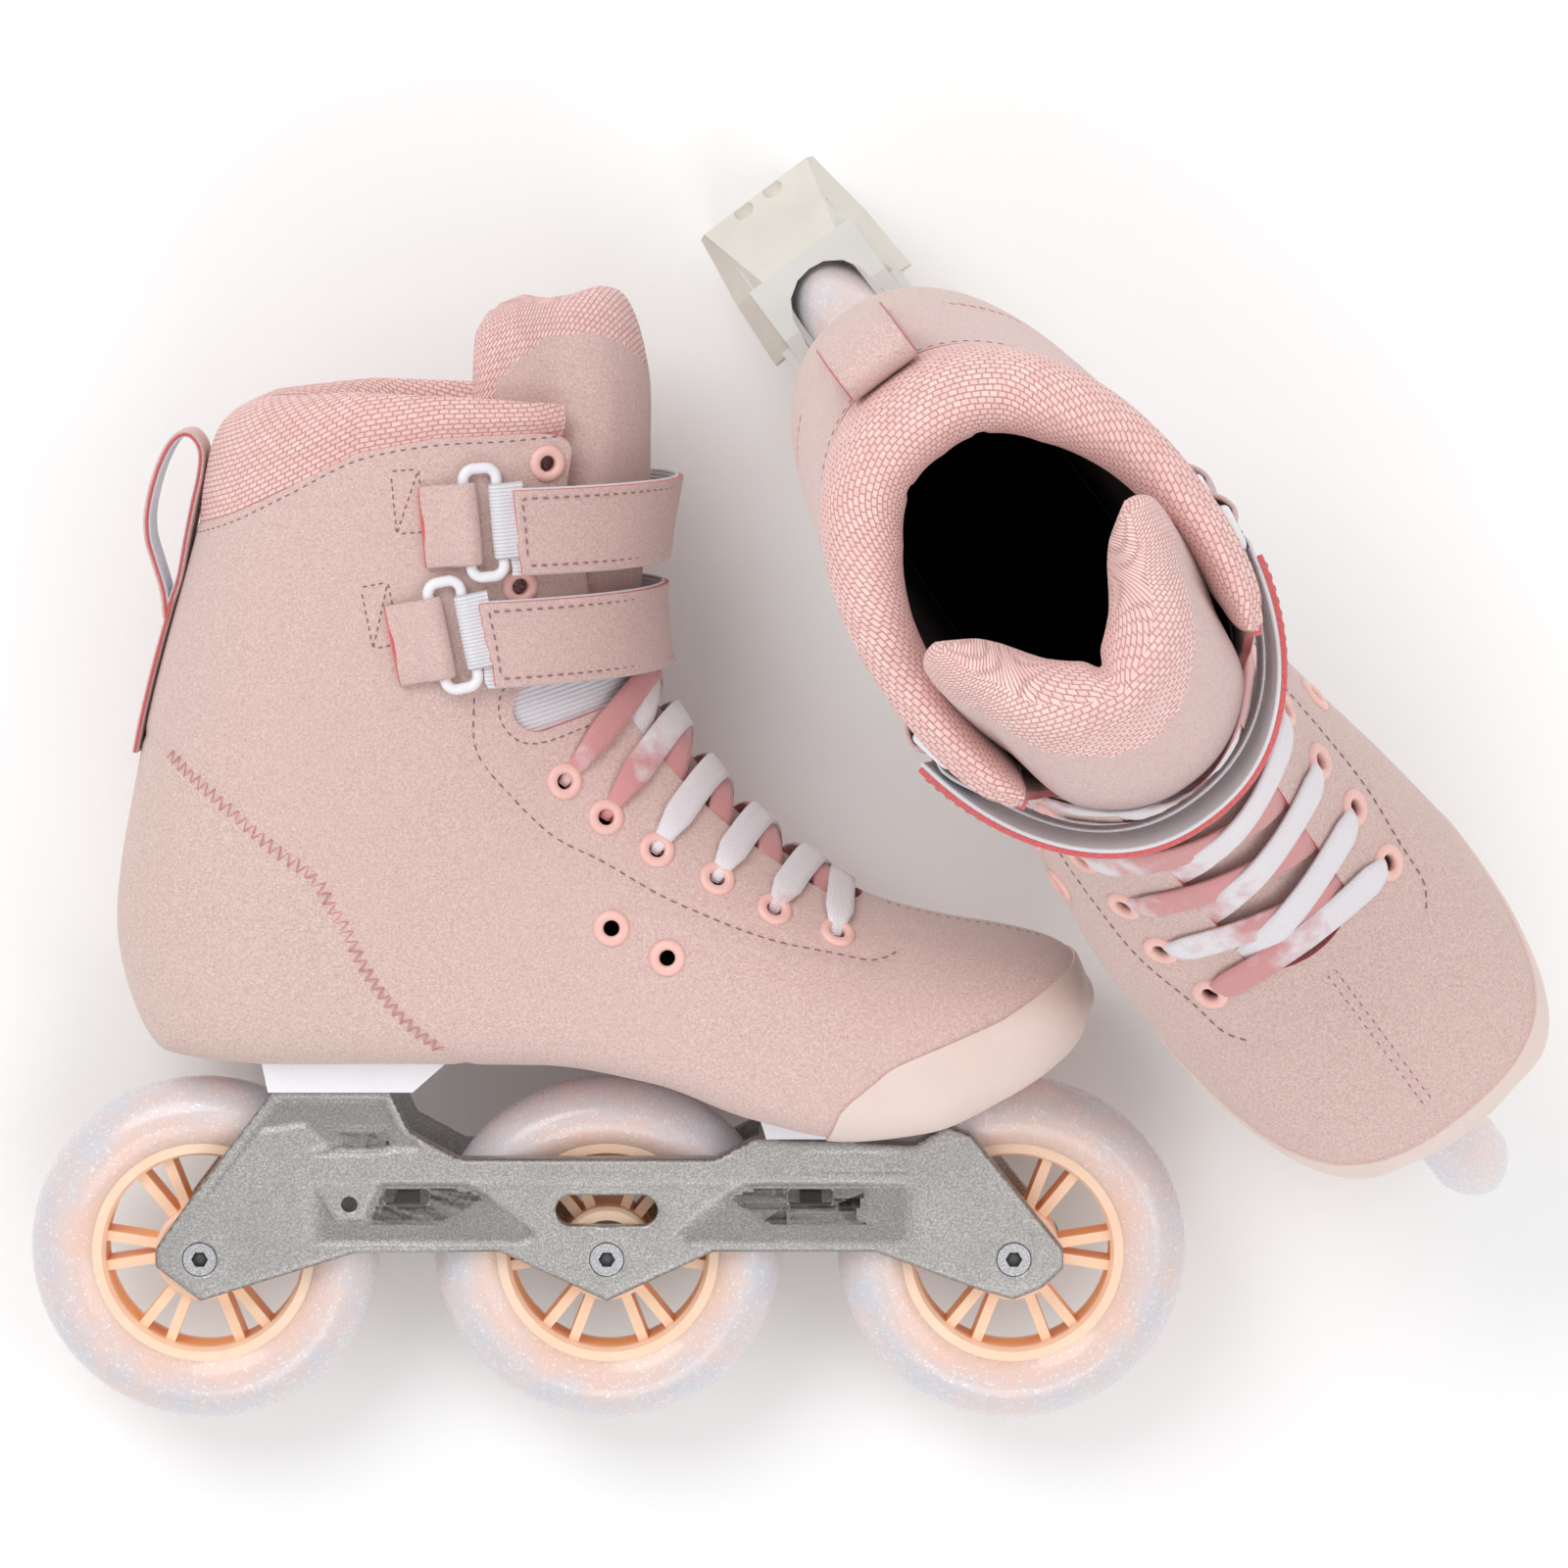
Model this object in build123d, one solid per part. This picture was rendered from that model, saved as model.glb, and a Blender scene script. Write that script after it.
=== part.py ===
from build123d import *
import math
import os

os.makedirs("parts", exist_ok=True)

# ---------------------------------------------------------------- driving dimensions (mm)
# One skate is modelled standing: X forward, Y to its left, Z up, origin on the ground
# under its middle axle. The modelled skate is the left one; the right one is its mirror.
WHEEL_D = 110.0
WHEEL_W = 24.0
AXLE_PITCH = 127.5
AXLE_Z = WHEEL_D / 2
AXLE_X = {"rear": -AXLE_PITCH, "mid": 0.0, "front": AXLE_PITCH}

RIM_OUT_R = 35.0
RIM_IN_R = 31.0
RIM_W = 18.0
HUB_R = 15.0
HUB_W = 23.0
SPOKE_PAIRS = 6
SPOKE_W = 3.2
SPOKE_SPLIT_DEG = 9.0

BEARING_OUT_R = 11.0
BEARING_BORE_R = 4.0
BEARING_W = 7.0
INNER_RACE_R = 6.0
RUNNING_GAP = 0.05
BEARING_OFFSET = 8.5

AXLE_R = 3.95
AXLE_HEAD_R = 5.2
AXLE_HEAD_T = 2.2
HEX_SOCKET_FLATS = 4.6

PLATE_IN = 13.2
PLATE_T = 3.8
BOSS_R = 8.5
BOSS_OUT = 18.6
MOUNT_PITCH = 165.0
MOUNT_FRONT_X = 74.0
MOUNT_REAR_X = MOUNT_FRONT_X - MOUNT_PITCH
MOUNT_BOLT_R = 3.0
MOUNT_SLOT_R = 3.4
MOUNT_HEAD_R = 4.9
MOUNT_HEAD_T = 3.4
REAR_DECK_Z = 109.0
FRONT_DECK_Z = 93.6
DECK_T = 6.4
BRAKE_HOLE_X = -80.5
BRAKE_HOLE_Z = 72.5
BRAKE_HOLE_R = 2.65

SHELL_T = 4.5
LINER_T = 9.0
SOLE_T = 8.0
TONGUE_IN = 17.0

BAR_R = 1.6
RING_PITCH = 10.0
RING_H = 36.0
STRAP_W = 25.0
STRAP_T = 2.6
STRAP_OFF = 5.05
STRAP_FRONT_OFF = 7.0
STRAP_SHIFT = 1.25

# Pose of the pair on the floor.
LEFT_ROLL = -82.5
LEFT_AT = (-55.5, -146.5, 44.5)
RIGHT_HEADING = -53.35
RIGHT_LEAN = 3.8
RIGHT_AT = (117.2, 21.5)

# ---------------------------------------------------------------- boot form
# Each station is a closed section between a point on the front or instep line and one on the
# sole or heel line: front x z, back x z, half width on the inner side and on the outer side
# of the foot, place of the widest point from front (0) to back (1), and the powers that
# square off its front and back halves.
STATIONS = [
    (150.6, 141.0, 150.6, 132.0, 21, 13, 0.50, 2.0, 2.0),
    (147.5, 148.0, 147.5, 125.0, 34, 25, 0.50, 2.0, 2.1),
    (140.0, 153.5, 139.0, 117.5, 43, 35, 0.50, 2.0, 2.3),
    (126.0, 157.5, 122.0, 109.0, 50, 44, 0.54, 2.0, 2.6),
    (106.0, 161.0, 100.0, 101.0, 54, 50, 0.58, 2.0, 2.8),
    (84.0, 167.0, 74.0, 98.0, 55, 53, 0.62, 1.9, 2.8),
    (62.0, 180.0, 45.0, 102.5, 52, 54, 0.66, 1.85, 2.8),
    (42.0, 197.0, 14.0, 113.2, 47, 51, 0.66, 1.85, 2.8),
    (25.0, 219.0, -22.0, 118.0, 43, 47, 0.64, 1.9, 2.7),
    (14.0, 240.0, -62.0, 117.8, 43, 44, 0.60, 2.0, 2.6),
    (12.5, 258.0, -104.0, 117.5, 45, 44, 0.52, 2.1, 2.4),
    (13.5, 275.0, -138.0, 120.0, 47, 45, 0.48, 2.15, 2.2),
    (15.0, 289.0, -153.5, 160.0, 48, 46, 0.48, 2.2, 2.1),
    (16.0, 301.0, -145.0, 215.0, 48.5, 47.5, 0.50, 2.2, 2.1),
    (16.5, 322.0, -119.0, 316.0, 48.5, 48.5, 0.50, 2.2, 2.2),
    (15.0, 366.0, -114.0, 366.0, 48.5, 48.5, 0.50, 2.2, 2.2),
]
LAST_SOLE_STATION = 11
SECTION_POINTS = 16


def section_wire(station, side, front, back):
    """One closed section of the boot, moved inwards by side, front and back."""
    fx, fz, bx, bz, inner, outer, widest, front_power, back_power = station
    length = math.hypot(bx - fx, bz - fz)
    ux = (bx - fx) / length
    uz = (bz - fz) / length
    span = length - front - back
    points = []
    for k in range(SECTION_POINTS):
        angle = 2 * math.pi * k / SECTION_POINTS
        along = math.cos(angle)
        across = math.sin(angle)
        if along >= 0:
            place = widest * (1 - along ** (2 / front_power))
            power = front_power
        else:
            place = widest + (1 - widest) * (-along) ** (2 / back_power)
            power = back_power
        half = (outer if across > 0 else inner) - side
        y = math.copysign(half * abs(across) ** (2 / power), across)
        reach = front + span * place
        points.append(Vector(fx + ux * reach, y, fz + uz * reach))
    steps = [float(k) for k in range(SECTION_POINTS + 1)]
    return Wire([Edge.make_spline(points, periodic=True, parameters=steps)])


def boot_form(side, front=None, sole=None, first=0):
    """The boot's solid form with its surface moved inwards (or outwards, when negative)."""
    front = side if front is None else front
    sole = side if sole is None else sole
    wires = []
    for index, station in enumerate(STATIONS[first:], first):
        back = sole if index <= LAST_SOLE_STATION else side
        wires.append(section_wire(station, side, front, back))
    return Solid.make_loft(wires, ruled=True)


def side_prism(points, half_width=90.0):
    """A profile in the XZ plane, made solid across the skate."""
    face = make_face(Polyline([(x, 0, z) for x, z in points], close=True))
    return extrude(face, amount=half_width, dir=(0, 1, 0), both=True)


def cylinder_y(radius, y_from, y_to, x, z):
    base = Plane(origin=(x, y_from, z), x_dir=(1, 0, 0), z_dir=(0, 1, 0))
    return extrude(base * Circle(radius), amount=y_to - y_from)


def cylinder_z(radius, z_from, z_to, x, y=0.0):
    base = Plane(origin=(x, y, z_from))
    return extrude(base * Circle(radius), amount=z_to - z_from)


def block(x_from, x_to, half_y, z_from, z_to):
    size = Box(x_to - x_from, 2 * half_y, z_to - z_from)
    return Pos((x_from + x_to) / 2, 0, (z_from + z_to) / 2) * size


def join(shapes):
    """All shapes fused into one."""
    total = shapes[0]
    for shape in shapes[1:]:
        total = total + shape
    return total


# ---------------------------------------------------------------- wheels
def wheel_profile(points):
    """A radius and width profile turned about the axle line."""
    face = make_face(Polyline(points, close=True))
    return revolve(face, axis=Axis.Y)


def tyre():
    half = WHEEL_W / 2
    seat = RIM_W / 2
    tread = [
        (RIM_OUT_R, seat), (RIM_OUT_R + 4, half - 0.8), (RIM_OUT_R + 9, half),
        (WHEEL_D / 2 - 5.4, half - 2.6), (WHEEL_D / 2 - 1.3, half - 7.2), (WHEEL_D / 2, 0),
    ]
    other = [(r, -w) for r, w in reversed(tread[:-1])]
    outer = Spline(*tread, *other)
    closing = Line((RIM_OUT_R, -seat), (RIM_OUT_R, seat))
    return revolve(make_face([outer, closing]), axis=Axis.Y)


def hub():
    seat = RIM_W / 2
    rim = wheel_profile([
        (RIM_IN_R + 1, -seat), (RIM_OUT_R, -seat), (RIM_OUT_R, seat), (RIM_IN_R + 1, seat),
        (RIM_IN_R, seat - 2), (RIM_IN_R, 2 - seat),
    ])
    half = HUB_W / 2
    pocket = BEARING_OFFSET - BEARING_W / 2
    core = wheel_profile([
        (BEARING_OUT_R, half), (HUB_R - 1, half), (HUB_R, half - 2), (HUB_R, 2 - half),
        (HUB_R - 1, -half), (BEARING_OUT_R, -half), (BEARING_OUT_R, -pocket),
        (BEARING_OUT_R - 1.5, -pocket), (BEARING_OUT_R - 1.5, pocket), (BEARING_OUT_R, pocket),
    ])
    spokes = []
    reach = RIM_IN_R + 1 - HUB_R
    for pair in range(SPOKE_PAIRS):
        for side in (-1, 1):
            angle = pair * 360 / SPOKE_PAIRS + side * SPOKE_SPLIT_DEG
            bar = Pos(HUB_R + reach / 2 - 0.5, 0, 0) * Box(reach + 1, 11.0, SPOKE_W)
            spokes.append(Rot(0, angle, 0) * bar)
    return join([rim, core, *spokes])


def bearing_shells():
    """Two outer rings with their shields, which turn with the hub."""
    low = INNER_RACE_R + RUNNING_GAP
    half = BEARING_W / 2
    ring = wheel_profile([
        (low, half - 0.4), (9.2, half - 0.4), (9.2, half), (BEARING_OUT_R, half),
        (BEARING_OUT_R, -half), (9.2, -half), (9.2, 0.4 - half), (low, 0.4 - half),
    ])
    return Compound([
        Pos(0, side * BEARING_OFFSET, 0) * ring.solid() for side in (-1, 1)
    ])


def bearing_core():
    """Inner rings and the spacer between them, clamped on the axle."""
    end = PLATE_IN - 1.1
    pocket = BEARING_OFFSET - BEARING_W / 2
    return wheel_profile([
        (BEARING_BORE_R, -end), (INNER_RACE_R, -end), (INNER_RACE_R, -pocket),
        (INNER_RACE_R - 0.8, -pocket), (INNER_RACE_R - 0.8, pocket),
        (INNER_RACE_R, pocket), (INNER_RACE_R, end), (BEARING_BORE_R, end),
    ])


def axle():
    """Axle with a flat round head at each end, each with a hexagon socket."""
    seat = BOSS_OUT - AXLE_HEAD_T
    shaft = cylinder_y(AXLE_R, -seat, seat, 0, 0)
    parts = shaft
    for side in (-1, 1):
        plane = Plane(origin=(0, side * seat, 0), x_dir=(1, 0, 0), z_dir=(0, side, 0))
        head = extrude(plane * Circle(AXLE_HEAD_R), amount=AXLE_HEAD_T + 0.2)
        parts = parts + head
    for side in (-1, 1):
        out = BOSS_OUT + 0.2
        plane = Plane(origin=(0, side * out, 0), x_dir=(1, 0, 0), z_dir=(0, -side, 0))
        socket = extrude(plane * RegularPolygon(HEX_SOCKET_FLATS / 2, 6, major_radius=False), amount=2.0)
        parts = parts - socket
    return parts


# ---------------------------------------------------------------- frame
FRAME_OUTLINE = [
    (-103.5, REAR_DECK_Z), (-67.5, REAR_DECK_Z), (-61.5, 95.5), (-46.0, 87.0),
    (34.0, 87.0), (46.5, FRONT_DECK_Z), (96.0, 91.5), (106.0, 97.5), (114.0, 94.5),
    (143.0, 58.0), (143.0, 52.0), (137.0, 46.0), (127.5, 42.0), (117.0, 45.0),
    (84.0, 57.3), (33.5, 57.3), (0.0, 41.5), (-33.5, 57.3), (-78.5, 57.0),
    (-127.5, 41.5), (-141.5, 52.5), (-141.5, 58.0), (-131.0, 73.0),
]


def frame_plate_cutters(half):
    """Windows, axle holes and brake screw holes, through both plates."""
    cutters = []
    for x in (-62.5, 63.8):
        cutters.append(block(x - 7.2, x + 7.2, half, 72.0, 77.2))
    cutters.append(block(-11.0, 11.0, half, 65.3, 75.7))
    for x in (-11.0, 11.0):
        cutters.append(cylinder_y(5.2, -half, half, x, 70.5))
    for x in AXLE_X.values():
        cutters.append(cylinder_y(BEARING_BORE_R, -half, half, x, AXLE_Z))
    cutters.append(cylinder_y(BRAKE_HOLE_R, -half, half, BRAKE_HOLE_X, BRAKE_HOLE_Z))
    return cutters


def frame():
    """Two cast plates joined by two mounting decks and two cross webs."""
    outline = make_face(FilletPolyline(*[(x, z) for x, z in FRAME_OUTLINE], radius=2.2, close=True))
    plates = []
    for side in (-1, 1):
        plane = Plane(origin=(0, side * PLATE_IN, 0), x_dir=(1, 0, 0), z_dir=(0, -1, 0))
        plates.append(extrude(plane * outline, amount=PLATE_T, dir=(0, side, 0)))
    rail = [(-58, 80), (90, 80), (108, 88), (104, 93.5), (96, 89.5), (47, 91.5), (33, 85.5),
            (-47, 85.5), (-58, 90.5)]
    ribs = side_prism(rail, PLATE_IN + PLATE_T + 1.4) - side_prism(rail, PLATE_IN + 1)
    bosses = []
    for x in AXLE_X.values():
        for side in (-1, 1):
            for radius, low, high in ((BOSS_R, 12.9, BOSS_OUT), (INNER_RACE_R - 0.1, PLATE_IN - 1.1, 13.5)):
                start, end = sorted((side * low, side * high))
                bosses.append(cylinder_y(radius, start, end, x, AXLE_Z))
    inner = PLATE_IN + 1
    webs = [
        block(-98.0, -68.0, inner, REAR_DECK_Z - DECK_T, REAR_DECK_Z),
        block(47.5, 80.5, inner, FRONT_DECK_Z - DECK_T, FRONT_DECK_Z),
        block(-67.5, -60.5, inner, 59.0, 70.5),
        block(60.5, 67.5, inner, 59.0, 70.5),
        block(-72.0, -68.0, inner, 88.0, REAR_DECK_Z - 1),
        block(61.8, 65.8, inner, 79.0, FRONT_DECK_Z - 1),
    ]
    body = join([*plates, ribs, *bosses, *webs])
    wide = BOSS_OUT + 5
    body = body - join(frame_plate_cutters(wide))
    seats = []
    for x in AXLE_X.values():
        for side in (-1, 1):
            start, end = sorted((side * (BOSS_OUT - AXLE_HEAD_T), side * wide))
            seats.append(cylinder_y(AXLE_HEAD_R + 0.3, start, end, x, AXLE_Z))
    for x, top in ((MOUNT_REAR_X, REAR_DECK_Z), (MOUNT_FRONT_X, FRONT_DECK_Z)):
        seats.append(cylinder_z(MOUNT_SLOT_R, top - DECK_T - 1, top + 1, x))
        seats.append(cylinder_z(MOUNT_HEAD_R + 0.3, top - DECK_T - 1, top - DECK_T + MOUNT_HEAD_T, x))
    return body - join(seats)


def mount_bolts():
    """The two bolts that hold the frame to the sole plate, heads under the decks."""
    bolts = []
    for x, top, reach in ((MOUNT_REAR_X, REAR_DECK_Z, 7.0), (MOUNT_FRONT_X, FRONT_DECK_Z, 3.6)):
        under = top - DECK_T
        head = cylinder_z(MOUNT_HEAD_R, under, under + MOUNT_HEAD_T, x)
        shank = cylinder_z(MOUNT_BOLT_R, under + 1, top + reach, x)
        socket = extrude(Plane(origin=(x, 0, under)) * RegularPolygon(2.5, 6, major_radius=False), amount=2.0)
        bolts.append((head + shank - socket).solid())
    return Compound(bolts)


def front_pad_blank():
    return side_prism([(50, FRONT_DECK_Z), (84, FRONT_DECK_Z), (88, 106), (46, 106)], 20)


def wheel_room():
    """Shallow channel under the toe that keeps the sole off the front wheel."""
    return cylinder_y(WHEEL_D / 2 + 2.2, -14.5, 14.5, AXLE_X["front"], AXLE_Z)


def sole_plate(boot):
    """Heel riser and front pad between the frame's decks and the sole."""
    riser = side_prism([(-105, REAR_DECK_Z), (-60, REAR_DECK_Z), (-43, 124), (-108, 124)], 23)
    solids = []
    for blank, x in ((riser, MOUNT_REAR_X), (front_pad_blank(), MOUNT_FRONT_X)):
        hole = cylinder_z(MOUNT_BOLT_R, 80, 130, x)
        solids.append((blank - boot - hole).solid())
    return Compound(solids)


# ---------------------------------------------------------------- boot
COLLAR_LINE = [(-175, 268), (-128, 284), (-112, 290), (-94, 299), (-73, 309.5), (-50, 314), (60, 319)]
COLLAR_TOP = [(-175, 306), (-118, 316), (-104, 322), (-75, 324.5), (-40, 323), (-14, 321), (60, 313)]
TONGUE_REACH = [(-42, 296), (-42, 341), (-30, 354), (-10, 355), (0, 360), (14, 354), (40, 340),
                (40, 240), (60, 200), (87, 190), (87, 145), (40, 160), (0, 200), (-22, 245)]
EYELETS = [(-11.5, 208.5), (1.0, 197.2), (16.5, 187.0), (35.0, 178.0), (52.5, 168.5), (72.0, 161.0)]
CUFF_EYELETS = [(-16.0, 306.0), (-24.5, 268.8)]
VENT_EYELETS = [(2.7, 163.8), (19.8, 155.0)]
THROAT_HALF = 20.0
CUFF_GAP_HALF = 29.0
STRAPS = {
    "upper": {"ring": (-35.0, 288.8), "slant": 5.0, "height": (274.8, 298.0), "rise": 5.5},
    "lower": {"ring": (-44.5, 254.8), "slant": 11.0, "height": (240.9, 264.0), "rise": 7.0},
}
RING_STANDOFF = 3.6
MEDIAL = -1
LATERAL = 1


def band_prism(points_low, points_high, half=90.0):
    """Everything between a lower and an upper line, across the skate."""
    return side_prism([*points_low, *reversed(points_high)], half)


def above_collar_line():
    return band_prism(COLLAR_LINE, [(-175, 420), (60, 420)])


def below_collar_top():
    return band_prism([(-175, 60), (175, 60)], [*COLLAR_TOP, (175, 313)])


def throat(low_half, high_half):
    """The opening over the instep and up the front of the cuff."""
    instep = side_prism([(88, 145), (88, 200), (-45, 280), (-45, 232), (5, 190), (40, 150)], low_half)
    cuff = side_prism([(-28, 233), (-28, 420), (60, 420), (60, 233)], high_half)
    return instep + cuff


def notch():
    """Side notches under the lower strap where the elastic band shows."""
    slot = side_prism([(-22, 223.5), (40, 223.5), (40, 239), (-22, 239)])
    return slot + cylinder_y(7.7, -90, 90, -20, 231.2)


def surface(form, x, z, side):
    """Point and outward direction of the boot's side at x and z."""
    hits = form.find_intersection_points(Axis((x, side * 200, z), (0, -side, 0)))
    point, normal = min(hits, key=lambda hit: -side * hit[0].Y)
    if normal.Y * side < 0:
        normal = -normal
    return point, normal


def eyelet_seats(form):
    """A plane on the surface for each eyelet, facing outwards."""
    seats = []
    for side in (MEDIAL, LATERAL):
        for x, z in EYELETS + CUFF_EYELETS + VENT_EYELETS:
            point, normal = surface(form, x, z, side)
            seats.append(Plane(origin=point, z_dir=normal))
    return seats


def eyelet_cuts(seats):
    cuts = []
    for plane in seats:
        barrel = extrude(plane.offset(-9) * Circle(3.2), amount=12)
        flange = extrude(plane.offset(-0.6) * Circle(5.0), amount=4)
        cuts.extend([barrel, flange])
    return join(cuts)


def eyelets(seats):
    """Flanged tubes set in the upper."""
    rings = []
    for plane in seats:
        barrel = extrude(plane.offset(-4.2) * Circle(3.2), amount=4)
        flange = extrude(plane.offset(-0.6) * Circle(5.0), amount=1.3)
        bore = extrude(plane.offset(-9) * Circle(2.3), amount=14)
        rings.append((barrel + flange - bore).solid())
    return Compound(rings)


def boot_upper(form, hollow, seats):
    cuff = below_collar_top() - above_collar_line()
    shell = ((form - hollow) & cuff) - wheel_room()
    shell = shell - throat(THROAT_HALF, CUFF_GAP_HALF)
    shell = shell - notch()
    shell = shell - eyelet_cuts(seats)
    return max(shell.solids(), key=lambda solid: solid.volume)


def liner(hollow, room, wide, seats):
    """Padded lining with the thick collar that shows above the upper."""
    line = above_collar_line()
    wrap = side_prism([(-45, 243), (-45, 420), (60, 420), (60, 243)], 60)
    inside = (hollow & below_collar_top()) - room
    inside = inside - throat(THROAT_HALF + 8, 60) - wrap
    collar = ((wide & line & below_collar_top()) - room) - throat(THROAT_HALF + 8, CUFF_GAP_HALF)
    front = (hollow & wrap)
    collar = collar - front
    padded = inside + collar - eyelet_cuts(seats)
    return max(padded.solids(), key=lambda solid: solid.volume)


def tongue(outer, under, core):
    """Padded tongue that fills the throat and wraps the shin at the top."""
    reach = side_prism(TONGUE_REACH, 60)
    cuff_side = side_prism([(-42, 245), (-42, 420), (60, 420), (60, 245)], 60)
    middle = side_prism([(120, 130), (120, 420), (-60, 420), (-60, 130)], THROAT_HALF - 0.6)
    top_middle = side_prism([(-27, 236), (-27, 420), (60, 420), (60, 236)], CUFF_GAP_HALF - 0.6)
    instep_side = side_prism([(120, 120), (120, 250), (-60, 250), (-60, 120)], THROAT_HALF + 7.4)
    wings = (under & reach) & (cuff_side + instep_side)
    centre = (outer & reach) & (middle + top_middle)
    body = (wings + centre) - core
    body = body - side_prism([(-60, 120), (-60, 236), (-8, 236), (10, 208), (22, 180), (22, 120)], 60)
    return max(body.solids(), key=lambda solid: solid.volume)


def insole(room):
    """Foot bed lying on the inner sole."""
    slab = side_prism([(-160, 134), (-60, 133), (-22, 133), (14, 128.5), (45, 118), (74, 113.5),
                       (100, 116.5), (122, 124.5), (160, 136), (160, 90), (-160, 90)], 70)
    return max((room & slab).solids(), key=lambda solid: solid.volume)


def toe_cap(form, wide):
    """Moulded rubber guard round the toe."""
    region = side_prism([(68, 85), (68.5, 97), (72.5, 108), (79, 116), (86, 121.5), (100, 127.5),
                         (122, 136.5), (140, 147), (160, 156), (160, 85)], 70)
    cap = ((wide - form) & region) - wheel_room() - front_pad_blank()
    return max(cap.solids(), key=lambda solid: solid.volume)


def ribbon(points, thickness, half_width):
    """A flat band that follows points in the XZ plane."""
    path = Spline(*[(x, z) for x, z in points])
    outline = trace(path, thickness)
    plane = Plane(origin=(0, half_width, 0), x_dir=(1, 0, 0), z_dir=(0, -1, 0))
    return extrude(plane * outline, amount=2 * half_width)


def pull_loop(form, wide):
    """Webbing loop at the back of the cuff with its sewn-on tail."""
    loop = ribbon([(-119.5, 308), (-123.5, 314.5), (-132, 310), (-139.5, 296), (-140.5, 283), (-135, 271),
                   (-130.5, 262)], 2.4, 11)
    tail = (wide & side_prism([(-160, 213), (-160, 266), (-100, 262), (-100, 213)], 11)) - form
    return ((loop - wide) + tail).solids()[0]


def lace(form, outside, inside, seats):
    """One flat lace crossing over the tongue through the six pairs of eyelets."""
    start_x, start_z = EYELETS[0]
    end_x, end_z = EYELETS[-1]
    ahead = Vector(end_x - start_x, 0, end_z - start_z).normalized()
    slope = Plane(origin=(start_x, 0, start_z), x_dir=ahead, z_dir=Vector(-ahead.Z, 0, ahead.X))
    half = 32.0
    places = [slope.to_local_coords(Vector(x, 0, z)).X for x, z in EYELETS]
    strips = []
    for first, second in zip(places, places[1:]):
        length = math.hypot(second - first, 2 * half)
        turn = math.degrees(math.atan2(2 * half, second - first))
        for side in (-1, 1):
            bar = Rot(0, 0, side * turn) * Box(length, 8.0, 44)
            strips.append(Pos((first + second) / 2, 0, 12) * bar)
    strips.append(Pos(places[-1], 0, 12) * Box(8.0, 2 * half, 44))
    lattice = slope * join(strips)
    web = (outside & lattice) - inside
    count = len(EYELETS + CUFF_EYELETS + VENT_EYELETS)
    for side in (0, count):
        for plane in seats[side:side + len(EYELETS)]:
            web = web + extrude(plane.offset(-4) * Circle(2.1), amount=6.2)
    return max(web.solids(), key=lambda solid: solid.volume)


# ---------------------------------------------------------------- straps and rings
def ring_plane(form, strap, side):
    """Plane of a ring lying along the cuff: X forward between its bars, Y along the bars."""
    x, z = strap["ring"]
    slant = math.radians(strap["slant"])
    half = RING_PITCH / 2
    ends = []
    for offset in (-half, half):
        point, _ = surface(form, x + offset, z, side)
        ends.append(point + Vector(0, side * RING_STANDOFF, 0))
    across = (ends[1] - ends[0]).normalized()
    bar = Vector(-math.sin(slant), 0, math.cos(slant))
    outward = across.cross(bar).normalized()
    across = bar.cross(outward).normalized()
    return Plane(origin=(ends[0] + ends[1]) / 2, x_dir=across, z_dir=outward)


def ring():
    """Moulded rectangular ring with round bars."""
    reach = RING_H / 2 - BAR_R
    half = RING_PITCH / 2
    pieces = []
    for sign in (-1, 1):
        up = Plane(origin=(sign * half, -reach, 0), x_dir=(1, 0, 0), z_dir=(0, 1, 0))
        along = Plane(origin=(-half, sign * reach, 0), x_dir=(0, 1, 0), z_dir=(1, 0, 0))
        pieces.append(extrude(up * Circle(BAR_R), amount=2 * reach))
        pieces.append(extrude(along * Circle(BAR_R), amount=2 * half))
        for corner in (-1, 1):
            pieces.append(Pos(sign * half, corner * reach, 0) * Sphere(BAR_R))
    return join(pieces)


def sleeve(place_x, length, radius):
    base = Plane(origin=(place_x, -length / 2, 0), x_dir=(1, 0, 0), z_dir=(0, 1, 0))
    return extrude(base * Circle(radius), amount=length)


def half_space(side, depth=120.0):
    """The block of space on one side of the skate's middle plane."""
    return Pos(0, side * depth / 2, 240) * Box(400, depth, 400)


def ring_tab(form, wide, strap, side):
    """Folded suede tab sewn to the cuff, looped round the ring's rear bar."""
    plane = ring_plane(form, strap, side)
    x, z = strap["ring"]
    slant = math.radians(strap["slant"])
    rear = x - RING_PITCH / 2
    height = 25.0
    lean = math.tan(slant) * height / 2
    region = side_prism([(rear - 14 - lean, z + height / 2), (rear + 0.5 - lean, z + height / 2),
                         (rear + 0.5 + lean, z - height / 2), (rear - 14 + lean, z - height / 2)])
    patch = (wide & region & half_space(side)) - form
    tube = plane * sleeve(-RING_PITCH / 2, height - 1, 2.9)
    bore = plane * sleeve(-RING_PITCH / 2, height + 8, BAR_R + RUNNING_GAP)
    tab = patch + (tube - form) - bore
    return max(tab.solids(), key=lambda solid: solid.volume)


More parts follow.
